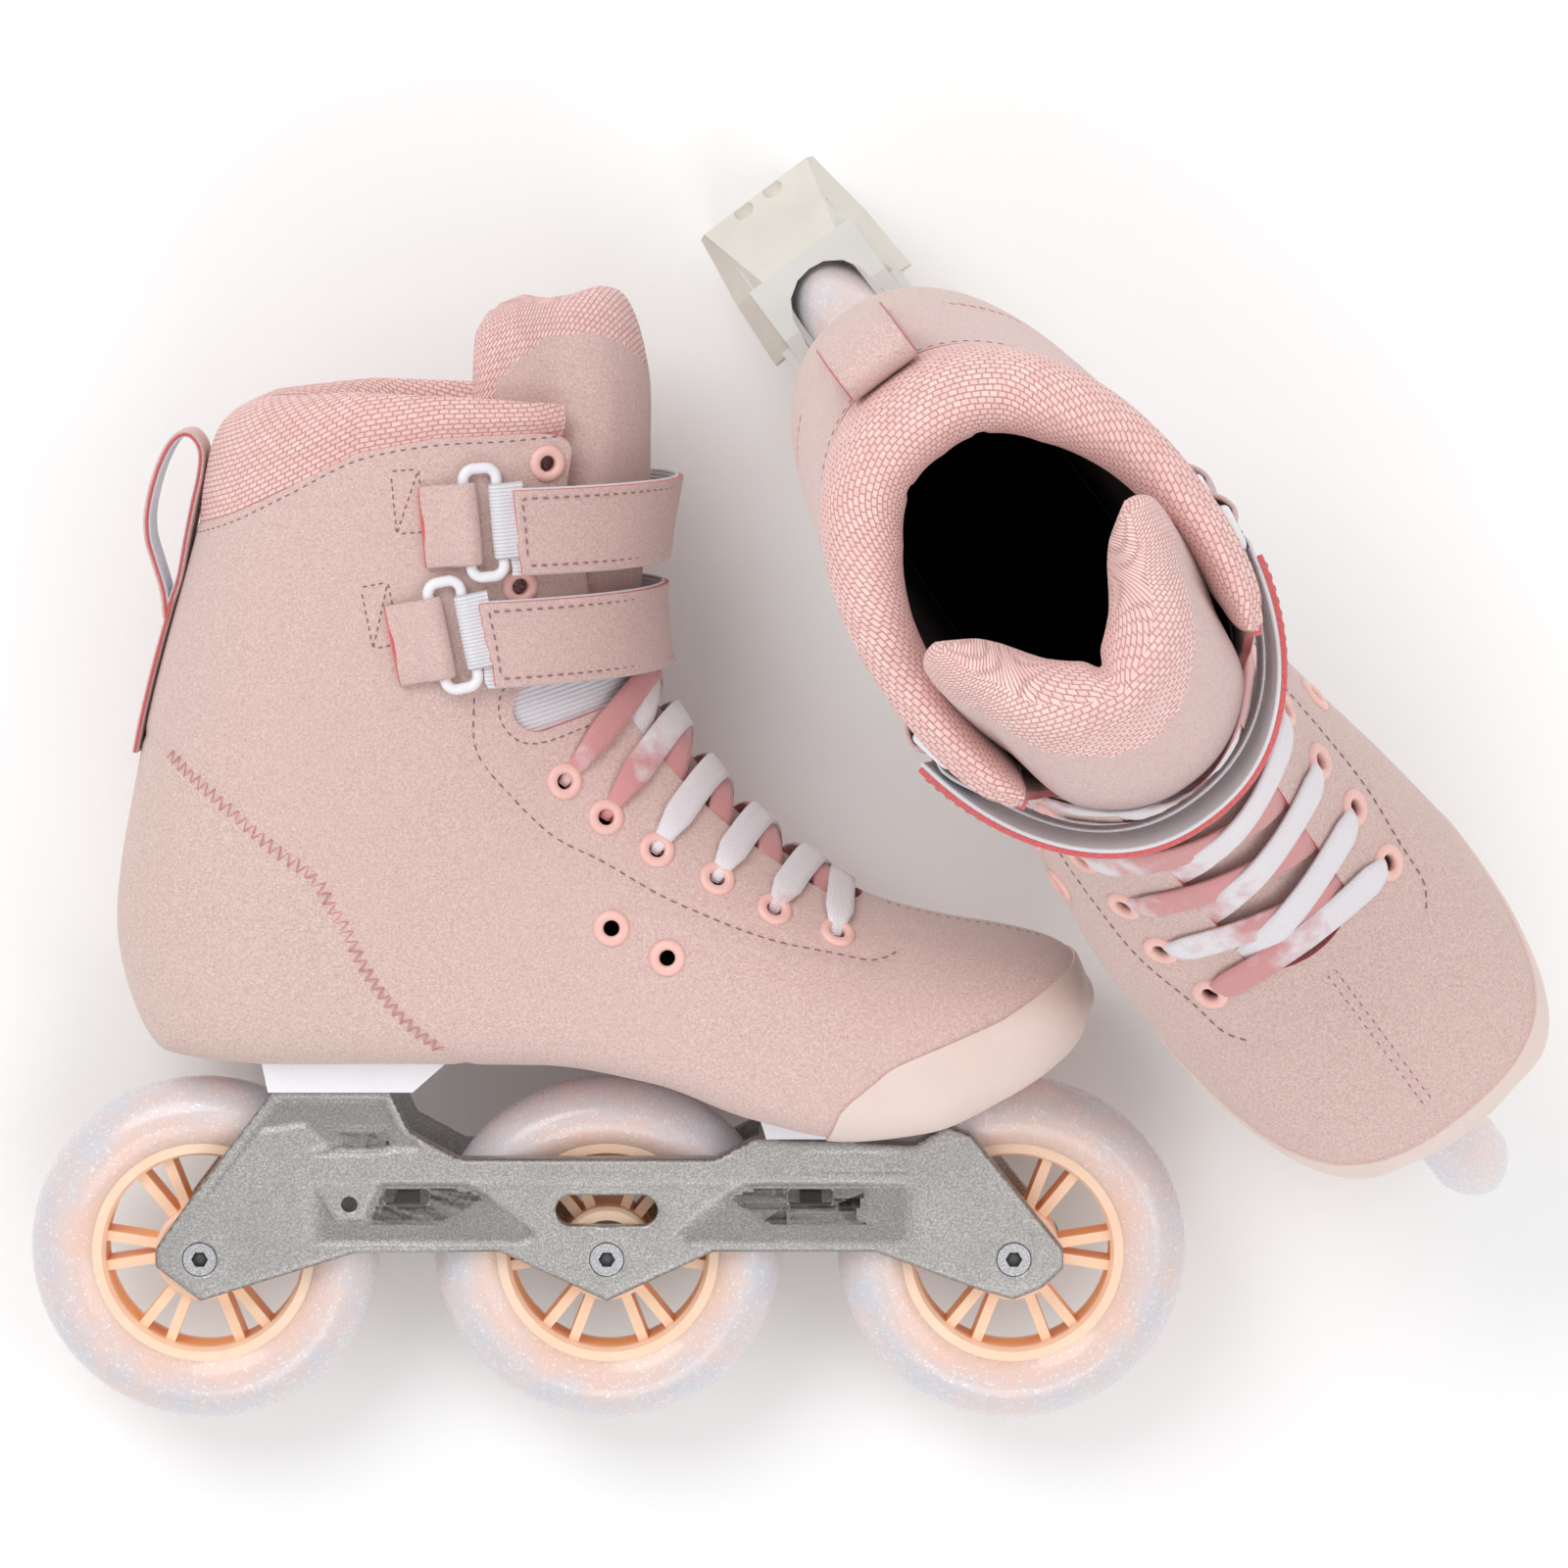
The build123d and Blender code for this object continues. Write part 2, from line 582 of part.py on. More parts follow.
def strap_band(form, outside, inside, strap):
    """Strap over the front of the cuff, looped round the ring's front bar."""
    plane = ring_plane(form, strap, MEDIAL)
    low, high = strap["height"]
    rise = math.tan(math.radians(strap["rise"]))
    start = strap["ring"][0] + RING_PITCH / 2
    slant = math.radians(strap["slant"])
    band = side_prism([(-80, low - 40 * rise), (60, low + 100 * rise), (60, high + 100 * rise),
                       (-80, high - 40 * rise)])
    low_start = start + 55 * math.tan(slant)
    high_start = start - 65 * math.tan(slant)
    behind = side_prism([(-200, 200), (low_start, 200), (high_start, 320), (-200, 320)])
    far_end = side_prism([(-200, 200), (-32, 200), (-34, 340), (-200, 340)])
    web = (outside & band) - inside
    web = web - (behind & half_space(MEDIAL)) - (far_end & half_space(LATERAL))
    tube = plane * sleeve(RING_PITCH / 2, STRAP_W - 2, 2.8)
    bore = plane * sleeve(RING_PITCH / 2, RING_H, BAR_R + RUNNING_GAP)
    body = (web + tube) - bore
    return max(body.solids(), key=lambda solid: solid.volume)


# ---------------------------------------------------------------- heel brake (right skate only)
ARM_IN = BOSS_OUT + 0.5
ARM_T = 3.2
SADDLE_IN = 19.0
PAD_BACK_X = -206.0
WALL_X = (-191.0, -185.5)
SCREW_Z = 38.0


def rear_wheel_room():
    """Space the rear wheel needs inside the brake, a little larger than the wheel."""
    half = [(0, 14.5), (44, 14.5), (50.5, 13.2), (54.5, 10), (57, 5), (57.6, 0)]
    profile = [(y, r) for r, y in half] + [(-y, r) for r, y in reversed(half[:-1])]
    face = make_face(Polyline([(y, r) for y, r in profile], close=True))
    across = Plane(origin=(0, 0, 0), x_dir=(0, 1, 0), z_dir=(-1, 0, 0))
    ring = revolve(across * face, Axis((0, 0, 0), (0, 1, 0)))
    return Pos(AXLE_X["rear"], 0, AXLE_Z) * ring


def brake_holder():
    """Arms along both sides of the rear wheel, joined by a saddle over it and a wall behind it."""
    side = [(-72, 66), (-72, 79), (-125, 79), (-146, 86), (-160, 86), (-160, 62), (-118, 66)]
    outer = ARM_IN + ARM_T
    arms = side_prism(side, outer) - side_prism(side, ARM_IN)
    saddle_side = [(-148, 86), (-162, 88), (-181, 86), (-181, 60), (-162, 60), (-148, 70)]
    saddle = side_prism(saddle_side, SADDLE_IN + 0.2)
    wall = side_prism([(-181.5, 80), (WALL_X[0], 74), (WALL_X[0], 24), (WALL_X[1], 24), (WALL_X[1], 60),
                       (-180, 60), (-180, 80)], 18.0)
    holder = arms + (saddle + wall - rear_wheel_room())
    wide = outer + 5
    for sign in (-1, 1):
        start, end = sorted((sign * (PLATE_IN + PLATE_T), sign * (ARM_IN + 1)))
        holder = holder + cylinder_y(5.0, start, end, BRAKE_HOLE_X, BRAKE_HOLE_Z)
    holder = holder - cylinder_y(BRAKE_HOLE_R, -wide, wide, BRAKE_HOLE_X, BRAKE_HOLE_Z)
    screw_hole = Plane(origin=(PAD_BACK_X - 5, 0, SCREW_Z), x_dir=(0, 1, 0), z_dir=(1, 0, 0))
    return holder - extrude(screw_hole * Circle(3.05), amount=40)


def pad_section(x, points):
    """One cross-section of the pad, given for one half and mirrored."""
    whole = [(y, z) for y, z in points] + [(-y, z) for y, z in reversed(points)]
    return Wire.make_polygon([Vector(x, y, z) for y, z in whole], close=True)


def brake_pad(holder):
    """Faceted rubber stopper behind the wheel, with an ear along each side of the saddle."""
    sections = [
        pad_section(PAD_BACK_X, [(21, 12), (22, 52), (20, 62)]),
        pad_section(-181, [(24, 12), (25, 68), (14, 86)]),
        pad_section(-159, [(25.5, 12), (26.3, 72), (21, 82)]),
    ]
    block_form = Solid.make_loft(sections, ruled=True)
    under = side_prism([(-212, 0), (-200, 10.5), (-180, 10.5), (-176, 14), (-179, 22), (-185.5, 24),
                        (-185.5, 58), (-178, 62), (-150, 66), (-150, 0)], 60)
    lower = side_prism([(-206, 8), (-206, 24.5), (-191, 24.5), (-180, 21.5), (-175, 14), (-180, 9.5)], 21)
    middle = side_prism([(-181, 50), (-181, 100), (-150, 100), (-150, 50)], SADDLE_IN + 0.2)
    wall_room = side_prism([(-181, 90), (WALL_X[0], 90), (WALL_X[0], 24), (-181, 24)], 18.0)
    wall_room = wall_room & side_prism([(-192, 20), (-192, 74.2), (-180, 80.3), (-180, 20)], 18.0)
    pad = block_form - under
    pad = pad + lower
    for cutter in (middle, wall_room, holder, rear_wheel_room()):
        pad = pad - cutter
    bore = Plane(origin=(PAD_BACK_X - 5, 0, SCREW_Z), x_dir=(0, 1, 0), z_dir=(1, 0, 0))
    pad = pad - extrude(bore * Circle(3.05), amount=40)
    pad = pad - extrude(bore * Circle(6.0), amount=9.0)
    for y in (-5.6, 5.6):
        pad = pad - Pos(-204.5, y, 64) * Sphere(3.4)
    return max(pad.solids(), key=lambda solid: solid.volume)


def brake_screws():
    """Two screws into the frame plates and one long screw that holds the pad."""
    screws = []
    low = PLATE_IN + 0.4
    high = ARM_IN + ARM_T
    for sign in (-1, 1):
        start, end = sorted((sign * low, sign * high))
        shank = cylinder_y(BRAKE_HOLE_R - 0.05, start, end, BRAKE_HOLE_X, BRAKE_HOLE_Z)
        start, end = sorted((sign * high, sign * (high + 2.2)))
        screws.append((shank + cylinder_y(4.6, start, end, BRAKE_HOLE_X, BRAKE_HOLE_Z)).solid())
    axis = Plane(origin=(PAD_BACK_X + 1.5, 0, SCREW_Z), x_dir=(0, 1, 0), z_dir=(1, 0, 0))
    head = extrude(axis * Circle(5.4), amount=2.4)
    shank = extrude(axis * Circle(3.0), amount=20.5)
    screws.append((head + shank).solid())
    return Compound(screws)


# ---------------------------------------------------------------- one skate
def wheel_nodes():
    tyre_part, hub_part, shells = tyre(), hub(), bearing_shells()
    nodes = {}
    for place, x in AXLE_X.items():
        at = Pos(x, 0, AXLE_Z)
        nodes[place + "_tyre"] = at * tyre_part
        nodes[place + "_hub"] = at * hub_part
        nodes[place + "_bearings"] = at * shells
    nodes["axles"] = Compound([(Pos(x, 0, AXLE_Z) * axle()).solid() for x in AXLE_X.values()])
    nodes["bearing_cores"] = Compound([(Pos(x, 0, AXLE_Z) * bearing_core()).solid() for x in AXLE_X.values()])
    return nodes


def boot_nodes():
    form = boot_form(0)
    hollow = boot_form(SHELL_T, sole=SOLE_T, first=2)
    room = boot_form(SHELL_T + LINER_T, sole=SOLE_T + 3, first=2)
    cap_form = boot_form(-1.4)
    tab_form = boot_form(-2.4)
    seats = eyelet_seats(form)
    tongue_out = boot_form(0.4)
    tongue_under = boot_form(SHELL_T + 0.5, sole=SOLE_T, first=2)
    tongue_core = boot_form(TONGUE_IN, sole=SOLE_T + 4, first=2)
    nodes = {
        "boot_upper": boot_upper(form, hollow, seats),
        "liner": liner(hollow, room, cap_form, seats),
        "tongue": tongue(tongue_out, tongue_under, tongue_core),
        "insole": insole(room),
        "toe_cap": toe_cap(form, cap_form),
        "eyelets": eyelets(seats),
        "pull_loop": pull_loop(form, cap_form),
        "sole_plate": sole_plate(form),
    }
    lace_out = boot_form(-3.0, first=3)
    lace_in = boot_form(-1.3, first=3)
    nodes["lace"] = lace(form, lace_out, lace_in, seats)
    shift = Pos(0, STRAP_SHIFT, 0)
    strap_in = shift * boot_form(-STRAP_OFF, front=-STRAP_FRONT_OFF, first=7)
    strap_out = shift * boot_form(-STRAP_OFF - STRAP_T, front=-STRAP_FRONT_OFF - STRAP_T, first=7)
    tabs = []
    far_rings = []
    for name, strap in STRAPS.items():
        plane = ring_plane(form, strap, MEDIAL)
        far_plane = ring_plane(form, strap, LATERAL)
        nodes["ring_" + name] = plane * ring()
        far_rings.append((far_plane * ring()).solid())
        tabs.extend(ring_tab(form, tab_form, strap, side) for side in (MEDIAL, LATERAL))
        nodes["strap_" + name] = strap_band(form, strap_out, strap_in, strap)
    nodes["lateral_rings"] = Compound(far_rings)
    nodes["ring_tabs"] = Compound(tabs)
    return nodes


def skate_nodes():
    nodes = wheel_nodes()
    nodes["frame"] = frame()
    nodes["frame_bolts"] = mount_bolts()
    nodes.update(boot_nodes())
    return nodes


# ---------------------------------------------------------------- the pair on the floor
def left_place():
    """The left skate lies on the outer side of its boot, toe towards +X."""
    return Location(LEFT_AT) * Rot(LEFT_ROLL, 0, 0) * Pos(0, 0, -AXLE_Z)


def right_place():
    """The right skate stands on its wheels, leaning a little towards its outer side."""
    return Location((*RIGHT_AT, 0)) * Rot(0, 0, RIGHT_HEADING) * Rot(RIGHT_LEAN, 0, 0)


def mirrored(shape):
    flipped = shape.mirror(Plane.XZ)
    solids = flipped.solids()
    return solids[0] if len(solids) == 1 else Compound(solids)


def pair_nodes():
    """Every named piece of both skates, floor at the lowest point, box centred on the origin."""
    left = skate_nodes()
    right = {name: mirrored(shape) for name, shape in left.items()}
    right["brake_holder"] = brake_holder()
    right["brake_pad"] = brake_pad(right["brake_holder"])
    right["brake_screws"] = brake_screws()
    placed = {}
    for prefix, place, nodes in (("left_", left_place(), left), ("right_", right_place(), right)):
        moved = {prefix + name: place * shape for name, shape in nodes.items()}
        drop = min(shape.bounding_box().min.Z for shape in moved.values())
        placed.update({name: Pos(0, 0, -drop) * shape for name, shape in moved.items()})
        print("drop", prefix, round(drop, 4))
    boxes = [shape.bounding_box() for shape in placed.values()]
    middle_x = (min(b.min.X for b in boxes) + max(b.max.X for b in boxes)) / 2
    middle_y = (min(b.min.Y for b in boxes) + max(b.max.Y for b in boxes)) / 2
    print("centre", round(middle_x, 4), round(middle_y, 4))
    return {name: Pos(-middle_x, -middle_y, 0) * shape for name, shape in placed.items()}


for node_name, node_shape in pair_nodes().items():
    export_step(node_shape, "parts/" + node_name + ".step")
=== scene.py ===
"""Looks of a pair of three-wheel inline skates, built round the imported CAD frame."""

import math

import bmesh
import bpy
import numpy as np
from mathutils import Matrix, Vector
from mathutils.bvhtree import BVHTree


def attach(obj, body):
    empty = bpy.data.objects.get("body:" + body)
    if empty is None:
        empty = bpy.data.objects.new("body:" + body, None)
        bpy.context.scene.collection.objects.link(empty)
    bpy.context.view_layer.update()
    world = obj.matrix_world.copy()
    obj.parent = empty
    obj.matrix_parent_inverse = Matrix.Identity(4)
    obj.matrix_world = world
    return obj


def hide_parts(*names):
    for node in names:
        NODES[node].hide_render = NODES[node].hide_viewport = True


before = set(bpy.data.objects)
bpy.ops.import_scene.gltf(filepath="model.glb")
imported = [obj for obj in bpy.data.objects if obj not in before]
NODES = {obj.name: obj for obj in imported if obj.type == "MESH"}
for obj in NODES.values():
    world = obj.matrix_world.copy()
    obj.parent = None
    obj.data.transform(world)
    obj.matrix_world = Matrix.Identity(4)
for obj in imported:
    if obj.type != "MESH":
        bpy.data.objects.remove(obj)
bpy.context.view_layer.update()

# ---------------------------------------------------------------- placing
# Every shape is made once, in millimetres, in the left skate's own frame: X forward, Y outward, Z up,
# with the ground under the middle axle as its origin. The right skate is its mirror image.
MM = 0.001
MIDDLE = (4.5861, 1.0691)


def turn(degrees, axis):
    """Rotation about a main axis."""
    return Matrix.Rotation(math.radians(degrees), 4, axis)


def shift(x, y, z):
    """Translation in millimetres."""
    return Matrix.Translation((x, y, z))


PLACES = {
    "left": Matrix.Scale(MM, 4) @ shift(-55.5 + MIDDLE[0], -146.5 + MIDDLE[1], 44.5 + 0.4032)
    @ turn(-82.5, "X") @ shift(0, 0, -55),
    "right": Matrix.Scale(MM, 4) @ shift(117.2 + MIDDLE[0], 21.5 + MIDDLE[1], 0.0185)
    @ turn(-53.35, "Z") @ turn(3.8, "X") @ Matrix.Diagonal((1, -1, 1, 1)),
}
AXLES = {"rear": -127.5, "mid": 0.0, "front": 127.5}
AXLE_Z = 55.0
MEDIAL, LATERAL = -1, 1


# ---------------------------------------------------------------- materials
def rgb(red, green, blue):
    """A screen colour as the linear colour that shaders use."""
    parts = []
    for value in (red, green, blue):
        value /= 255
        parts.append(value / 12.92 if value <= 0.04045 else ((value + 0.055) / 1.055) ** 2.4)
    return (*parts, 1.0)


class Look:
    """A material made of procedural nodes."""

    def __init__(self, name, **values):
        self.mat = bpy.data.materials.new(name)
        self.mat.use_nodes = True
        self.tree = self.mat.node_tree
        self.shader = self.tree.nodes["Principled BSDF"]
        for key, value in values.items():
            self.shader.inputs[key.replace("_", " ")].default_value = value
        self.place = self.add("ShaderNodeTexCoord").outputs["Object"]

    def add(self, kind, inputs=None, **props):
        """A node with its inputs linked or set."""
        node = self.tree.nodes.new(kind)
        for key, value in props.items():
            setattr(node, key, value)
        for key, value in (inputs or {}).items():
            if isinstance(value, bpy.types.NodeSocket):
                self.tree.links.new(value, node.inputs[key])
            else:
                node.inputs[key].default_value = value
        return node

    def attribute(self, name, output="Vector"):
        """A value stored on the points of a mesh."""
        return self.add("ShaderNodeAttribute", attribute_name=name).outputs[output]

    def noise(self, scale, detail=3.0, rough=0.6):
        """Noise in the place of the piece."""
        values = {"Vector": self.place, "Scale": scale, "Detail": detail, "Roughness": rough}
        return self.add("ShaderNodeTexNoise", values).outputs[0]

    def math(self, operation, first, second=0.0):
        """One sum of two values."""
        return self.add("ShaderNodeMath", {0: first, 1: second}, operation=operation).outputs[0]

    def span(self, value, low, high, to_low=0.0, to_high=1.0):
        """A value moved from one range to another."""
        values = {"Value": value, "From Min": low, "From Max": high, "To Min": to_low, "To Max": to_high}
        return self.add("ShaderNodeMapRange", values).outputs[0]

    def mix(self, amount, first, second):
        """A colour between two colours."""
        return self.add("ShaderNodeMix", {0: amount, 6: first, 7: second}, data_type="RGBA").outputs[2]

    def bump(self, height, strength, distance, under=None):
        """A normal from a height, over another normal if given."""
        values = {"Height": height, "Strength": strength, "Distance": distance}
        if under is not None:
            values["Normal"] = under
        return self.add("ShaderNodeBump", values).outputs[0]

    def link(self, socket, value):
        """Feeds one input of the shader."""
        self.tree.links.new(value, self.shader.inputs[socket])


def suede_look(name, dark, light, shade=None):
    """Brushed suede: short fibres, soft clouds of nap and a faint sheen."""
    look = Look(name, Roughness=0.95, Sheen_Weight=0.35, Sheen_Roughness=0.5, Specular_IOR_Level=0.15)
    fibre = look.noise(1900, 4, 0.75)
    grain = look.noise(1050, 2, 0.6)
    cloud = look.noise(26, 3, 0.55)
    speck = look.math("ADD", look.math("MULTIPLY", fibre, 0.7), look.math("MULTIPLY", grain, 0.3))
    speck = look.span(speck, 0.36, 0.64)
    tone = look.mix(speck, dark, light)
    tone = look.mix(look.span(cloud, 0.3, 0.7, 0.0, 0.3), tone, look.mix(0.5, dark, light))
    if shade is not None:
        tone = look.mix(look.attribute("shade", "Fac"), tone, look.mix(speck, *shade))
    look.link("Base Color", tone)
    look.link("Roughness", look.span(grain, 0.3, 0.7, 0.86, 1.0))
    look.link("Normal", look.bump(fibre, 0.6, 0.0005, look.bump(cloud, 0.1, 0.002)))
    return look.mat


def knit_look(name, dark, light, hole, width=0.0027, height=0.0017):
    """Spacer mesh: rows of small raised stitches that follow the rim."""
    look = Look(name, Roughness=0.7, Sheen_Weight=0.25, Specular_IOR_Level=0.3)
    drift = look.add("ShaderNodeTexNoise", {"Vector": look.place, "Scale": 420.0}).outputs[1]
    drift = look.add("ShaderNodeVectorMath", {0: drift, "Scale": 0.0005}, operation="SCALE").outputs[0]
    place = look.add("ShaderNodeVectorMath", {0: look.attribute("weave"), 1: drift}).outputs[0]
    values = {"Vector": place, "Scale": 1.0, "Mortar Size": height * 0.16, "Mortar Smooth": 1.0,
              "Brick Width": width, "Row Height": height, "Color1": light, "Color2": dark, "Mortar": hole}
    brick = look.add("ShaderNodeTexBrick", values, offset=0.5)
    thread = look.noise(2600, 2, 0.6)
    cloud = look.noise(40, 2, 0.5)
    tone = look.mix(look.span(thread, 0.35, 0.65, 0.0, 0.45), brick.outputs["Color"], light)
    tone = look.mix(look.span(cloud, 0.35, 0.65, 0.0, 0.3), tone, dark)
    look.link("Base Color", tone)
    look.link("Roughness", look.span(thread, 0.3, 0.7, 0.55, 0.85))
    rise = look.math("SUBTRACT", 1.0, brick.outputs["Fac"])
    look.link("Normal", look.bump(thread, 0.3, 0.0003, look.bump(rise, 0.8, 0.0005)))
    return look.mat


def waves(look, value, pitch):
    """A sine along a coordinate that changes sign once in each pitch."""
    return look.math("SINE", look.math("MULTIPLY", value, math.pi / pitch))


def webbing_look(name, low, high, rib=0.0011):
    """Ribbed woven tape with fine picks between the ribs."""
    look = Look(name, Roughness=0.75, Sheen_Weight=0.3, Specular_IOR_Level=0.25)
    part = look.add("ShaderNodeSeparateXYZ", {0: look.attribute("weave")})
    ribs = look.math("ABSOLUTE", waves(look, part.outputs[1], rib))
    picks = look.math("ABSOLUTE", waves(look, part.outputs[0], 0.0007))
    fibre = look.noise(1800, 2, 0.6)
    height = look.math("ADD", look.math("MULTIPLY", ribs, 0.7), look.math("MULTIPLY", picks, 0.3))
    amount = look.math("MULTIPLY", height, look.span(fibre, 0.3, 0.7, 0.7, 1.0))
    look.link("Base Color", look.mix(amount, low, high))
    look.link("Roughness", look.span(fibre, 0.3, 0.7, 0.6, 0.85))
    look.link("Normal", look.bump(height, 0.8, 0.0004))
    return look.mat


def lace_look(name, pink, white):
    """Flat lace: a fine diagonal braid, dyed from white to pink and back along its length."""
    look = Look(name, Roughness=0.75, Sheen_Weight=0.3, Specular_IOR_Level=0.25)
    part = look.add("ShaderNodeSeparateXYZ", {0: look.attribute("weave")})
    along, across = part.outputs[0], part.outputs[1]
    one = waves(look, look.math("ADD", along, across), 0.0008)
    two = waves(look, look.math("SUBTRACT", along, across), 0.0008)
    braid = look.span(look.math("MULTIPLY", one, two), -1.0, 1.0)
    dye = look.math("SINE", look.math("MULTIPLY", look.attribute("shade", "Fac"), 2 * math.pi))
    blot = look.math("ADD", dye, look.span(look.noise(160, 2, 0.5), 0.3, 0.7, -0.35, 0.35))
    tone = look.mix(look.span(blot, -0.3, 0.55), white, pink)
    tone = look.mix(look.math("MULTIPLY", look.math("SUBTRACT", 1.0, braid), 0.28), tone, rgb(188, 130, 136))
    look.link("Base Color", tone)
    look.link("Roughness", look.span(look.noise(900), 0.3, 0.7, 0.6, 0.9))
    look.link("Normal", look.bump(braid, 0.7, 0.0003))
    return look.mat


def plastic_look(name, colour, tint, rough=0.4, bump=0.15, scatter=0.0, grain=700):
    """Moulded plastic or rubber with a faint orange peel and slightly uneven gloss."""
    look = Look(name, Roughness=rough, Subsurface_Weight=scatter)
    peel = look.noise(grain, 3, 0.6)
    cloud = look.noise(35, 3, 0.6)
    look.link("Base Color", look.mix(look.span(cloud, 0.3, 0.7), colour, tint))
    look.link("Roughness", look.span(peel, 0.3, 0.7, rough * 0.85, min(1.0, rough * 1.2)))
    look.link("Normal", look.bump(peel, bump, 0.0003))
    return look.mat


def cast_look(name, colour, spark, rough=0.42):
    """Bead-blasted cast metal with fine bright specks, darkened as painted shade where the shade attribute
    marks hollows.
    """
    look = Look(name, Metallic=0.75, Roughness=rough)
    blast = look.noise(1500, 3, 0.7)
    wide = look.noise(45, 3, 0.55)
    speck = look.span(blast, 0.42, 0.66)
    tone = look.mix(speck, colour, spark)
    tone = look.mix(look.span(wide, 0.35, 0.7, 0.0, 0.35), tone, colour)
    # Painted shade: the shade attribute pulls the colour towards dark grey in the frame relief's hollows.
    tone = look.mix(look.attribute("shade", "Fac"), tone, rgb(84, 80, 78))
    look.link("Base Color", tone)
    look.link("Roughness", look.span(blast, 0.3, 0.7, rough * 1.25, rough * 0.8))
    look.link("Normal", look.bump(blast, 0.35, 0.0004))
    return look.mat


def wheel_axis(side, wheel):
    """Centre and direction of a wheel's axle, in metres in the shared frame."""
    place = PLACES[side]
    centre = place @ Vector((AXLES[wheel], 0, AXLE_Z))
    tip = place @ Vector((AXLES[wheel], 1000, AXLE_Z))
    return centre, (tip - centre).normalized()


def round_axle(look, side, wheel):
    """Distance from the wheel's axle line and from its middle plane, in metres."""
    centre, axis = wheel_axis(side, wheel)
    ray = look.add("ShaderNodeVectorMath", {0: look.place, 1: centre}, operation="SUBTRACT").outputs[0]
    ring = look.add("ShaderNodeVectorMath", {0: ray, 1: axis}, operation="CROSS_PRODUCT").outputs[0]
    radius = look.add("ShaderNodeVectorMath", {0: ring}, operation="LENGTH").outputs["Value"]
    depth = look.add("ShaderNodeVectorMath", {0: ray, 1: axis}, operation="DOT_PRODUCT").outputs["Value"]
    return radius, look.math("ABSOLUTE", depth)


def tyre_look(side, wheel):
    """Translucent pearly urethane with glitter, warmer where the core shines through."""
    look = Look(f"urethane_{side}_{wheel}", Roughness=0.28, Subsurface_Weight=0.35, Subsurface_Scale=0.006,
                Coat_Weight=0.5, Coat_Roughness=0.12, Specular_IOR_Level=0.5, Sheen_Weight=0.15)
    look.shader.inputs["Subsurface Radius"].default_value = (1.0, 0.8, 0.75)
    look.shader.inputs["Sheen Tint"].default_value = rgb(215, 235, 255)
    radius, _ = round_axle(look, side, wheel)
    flake = look.add("ShaderNodeTexVoronoi", {"Vector": look.place, "Scale": 1500.0})
    cloud = look.noise(60, 3, 0.6)
    pearl = look.mix(look.span(cloud, 0.35, 0.65), rgb(224, 206, 202), rgb(208, 208, 215))
    warm = look.mix(look.span(cloud, 0.3, 0.7), rgb(246, 200, 178), rgb(238, 206, 192))
    tone = look.mix(look.span(radius, 0.034, 0.047), warm, pearl)
    glint = look.add("ShaderNodeSeparateColor", {0: flake.outputs["Color"]}).outputs[0]
    tone = look.mix(look.span(glint, 0.84, 1.0, 0.0, 0.5), tone, rgb(250, 252, 255))
    look.link("Base Color", tone)
    look.link("Roughness", look.span(glint, 0.5, 1.0, 0.34, 0.16))
    look.link("Normal", look.bump(glint, 0.25, 0.0002, look.bump(cloud, 0.05, 0.001)))
    return look.mat


def hub_look(side, wheel):
    """Peach spoked core, deeper orange on the web behind the spokes."""
    look = Look(f"core_{side}_{wheel}", Roughness=0.38, Subsurface_Weight=0.15, Subsurface_Scale=0.004)
    radius, depth = round_axle(look, side, wheel)
    peel = look.noise(900, 3, 0.6)
    peach = look.mix(look.span(look.noise(50), 0.3, 0.7), rgb(255, 222, 196), rgb(254, 212, 184))
    deep = look.mix(look.span(peel, 0.3, 0.7), rgb(250, 168, 78), rgb(255, 190, 112))
    inner = look.math("MULTIPLY", look.span(depth, 0.0058, 0.0035), look.span(radius, 0.0135, 0.0155))
    look.link("Base Color", look.mix(inner, peach, deep))
    look.link("Roughness", look.span(peel, 0.3, 0.7, 0.32, 0.48))
    look.link("Normal", look.bump(peel, 0.12, 0.0003))
    return look.mat


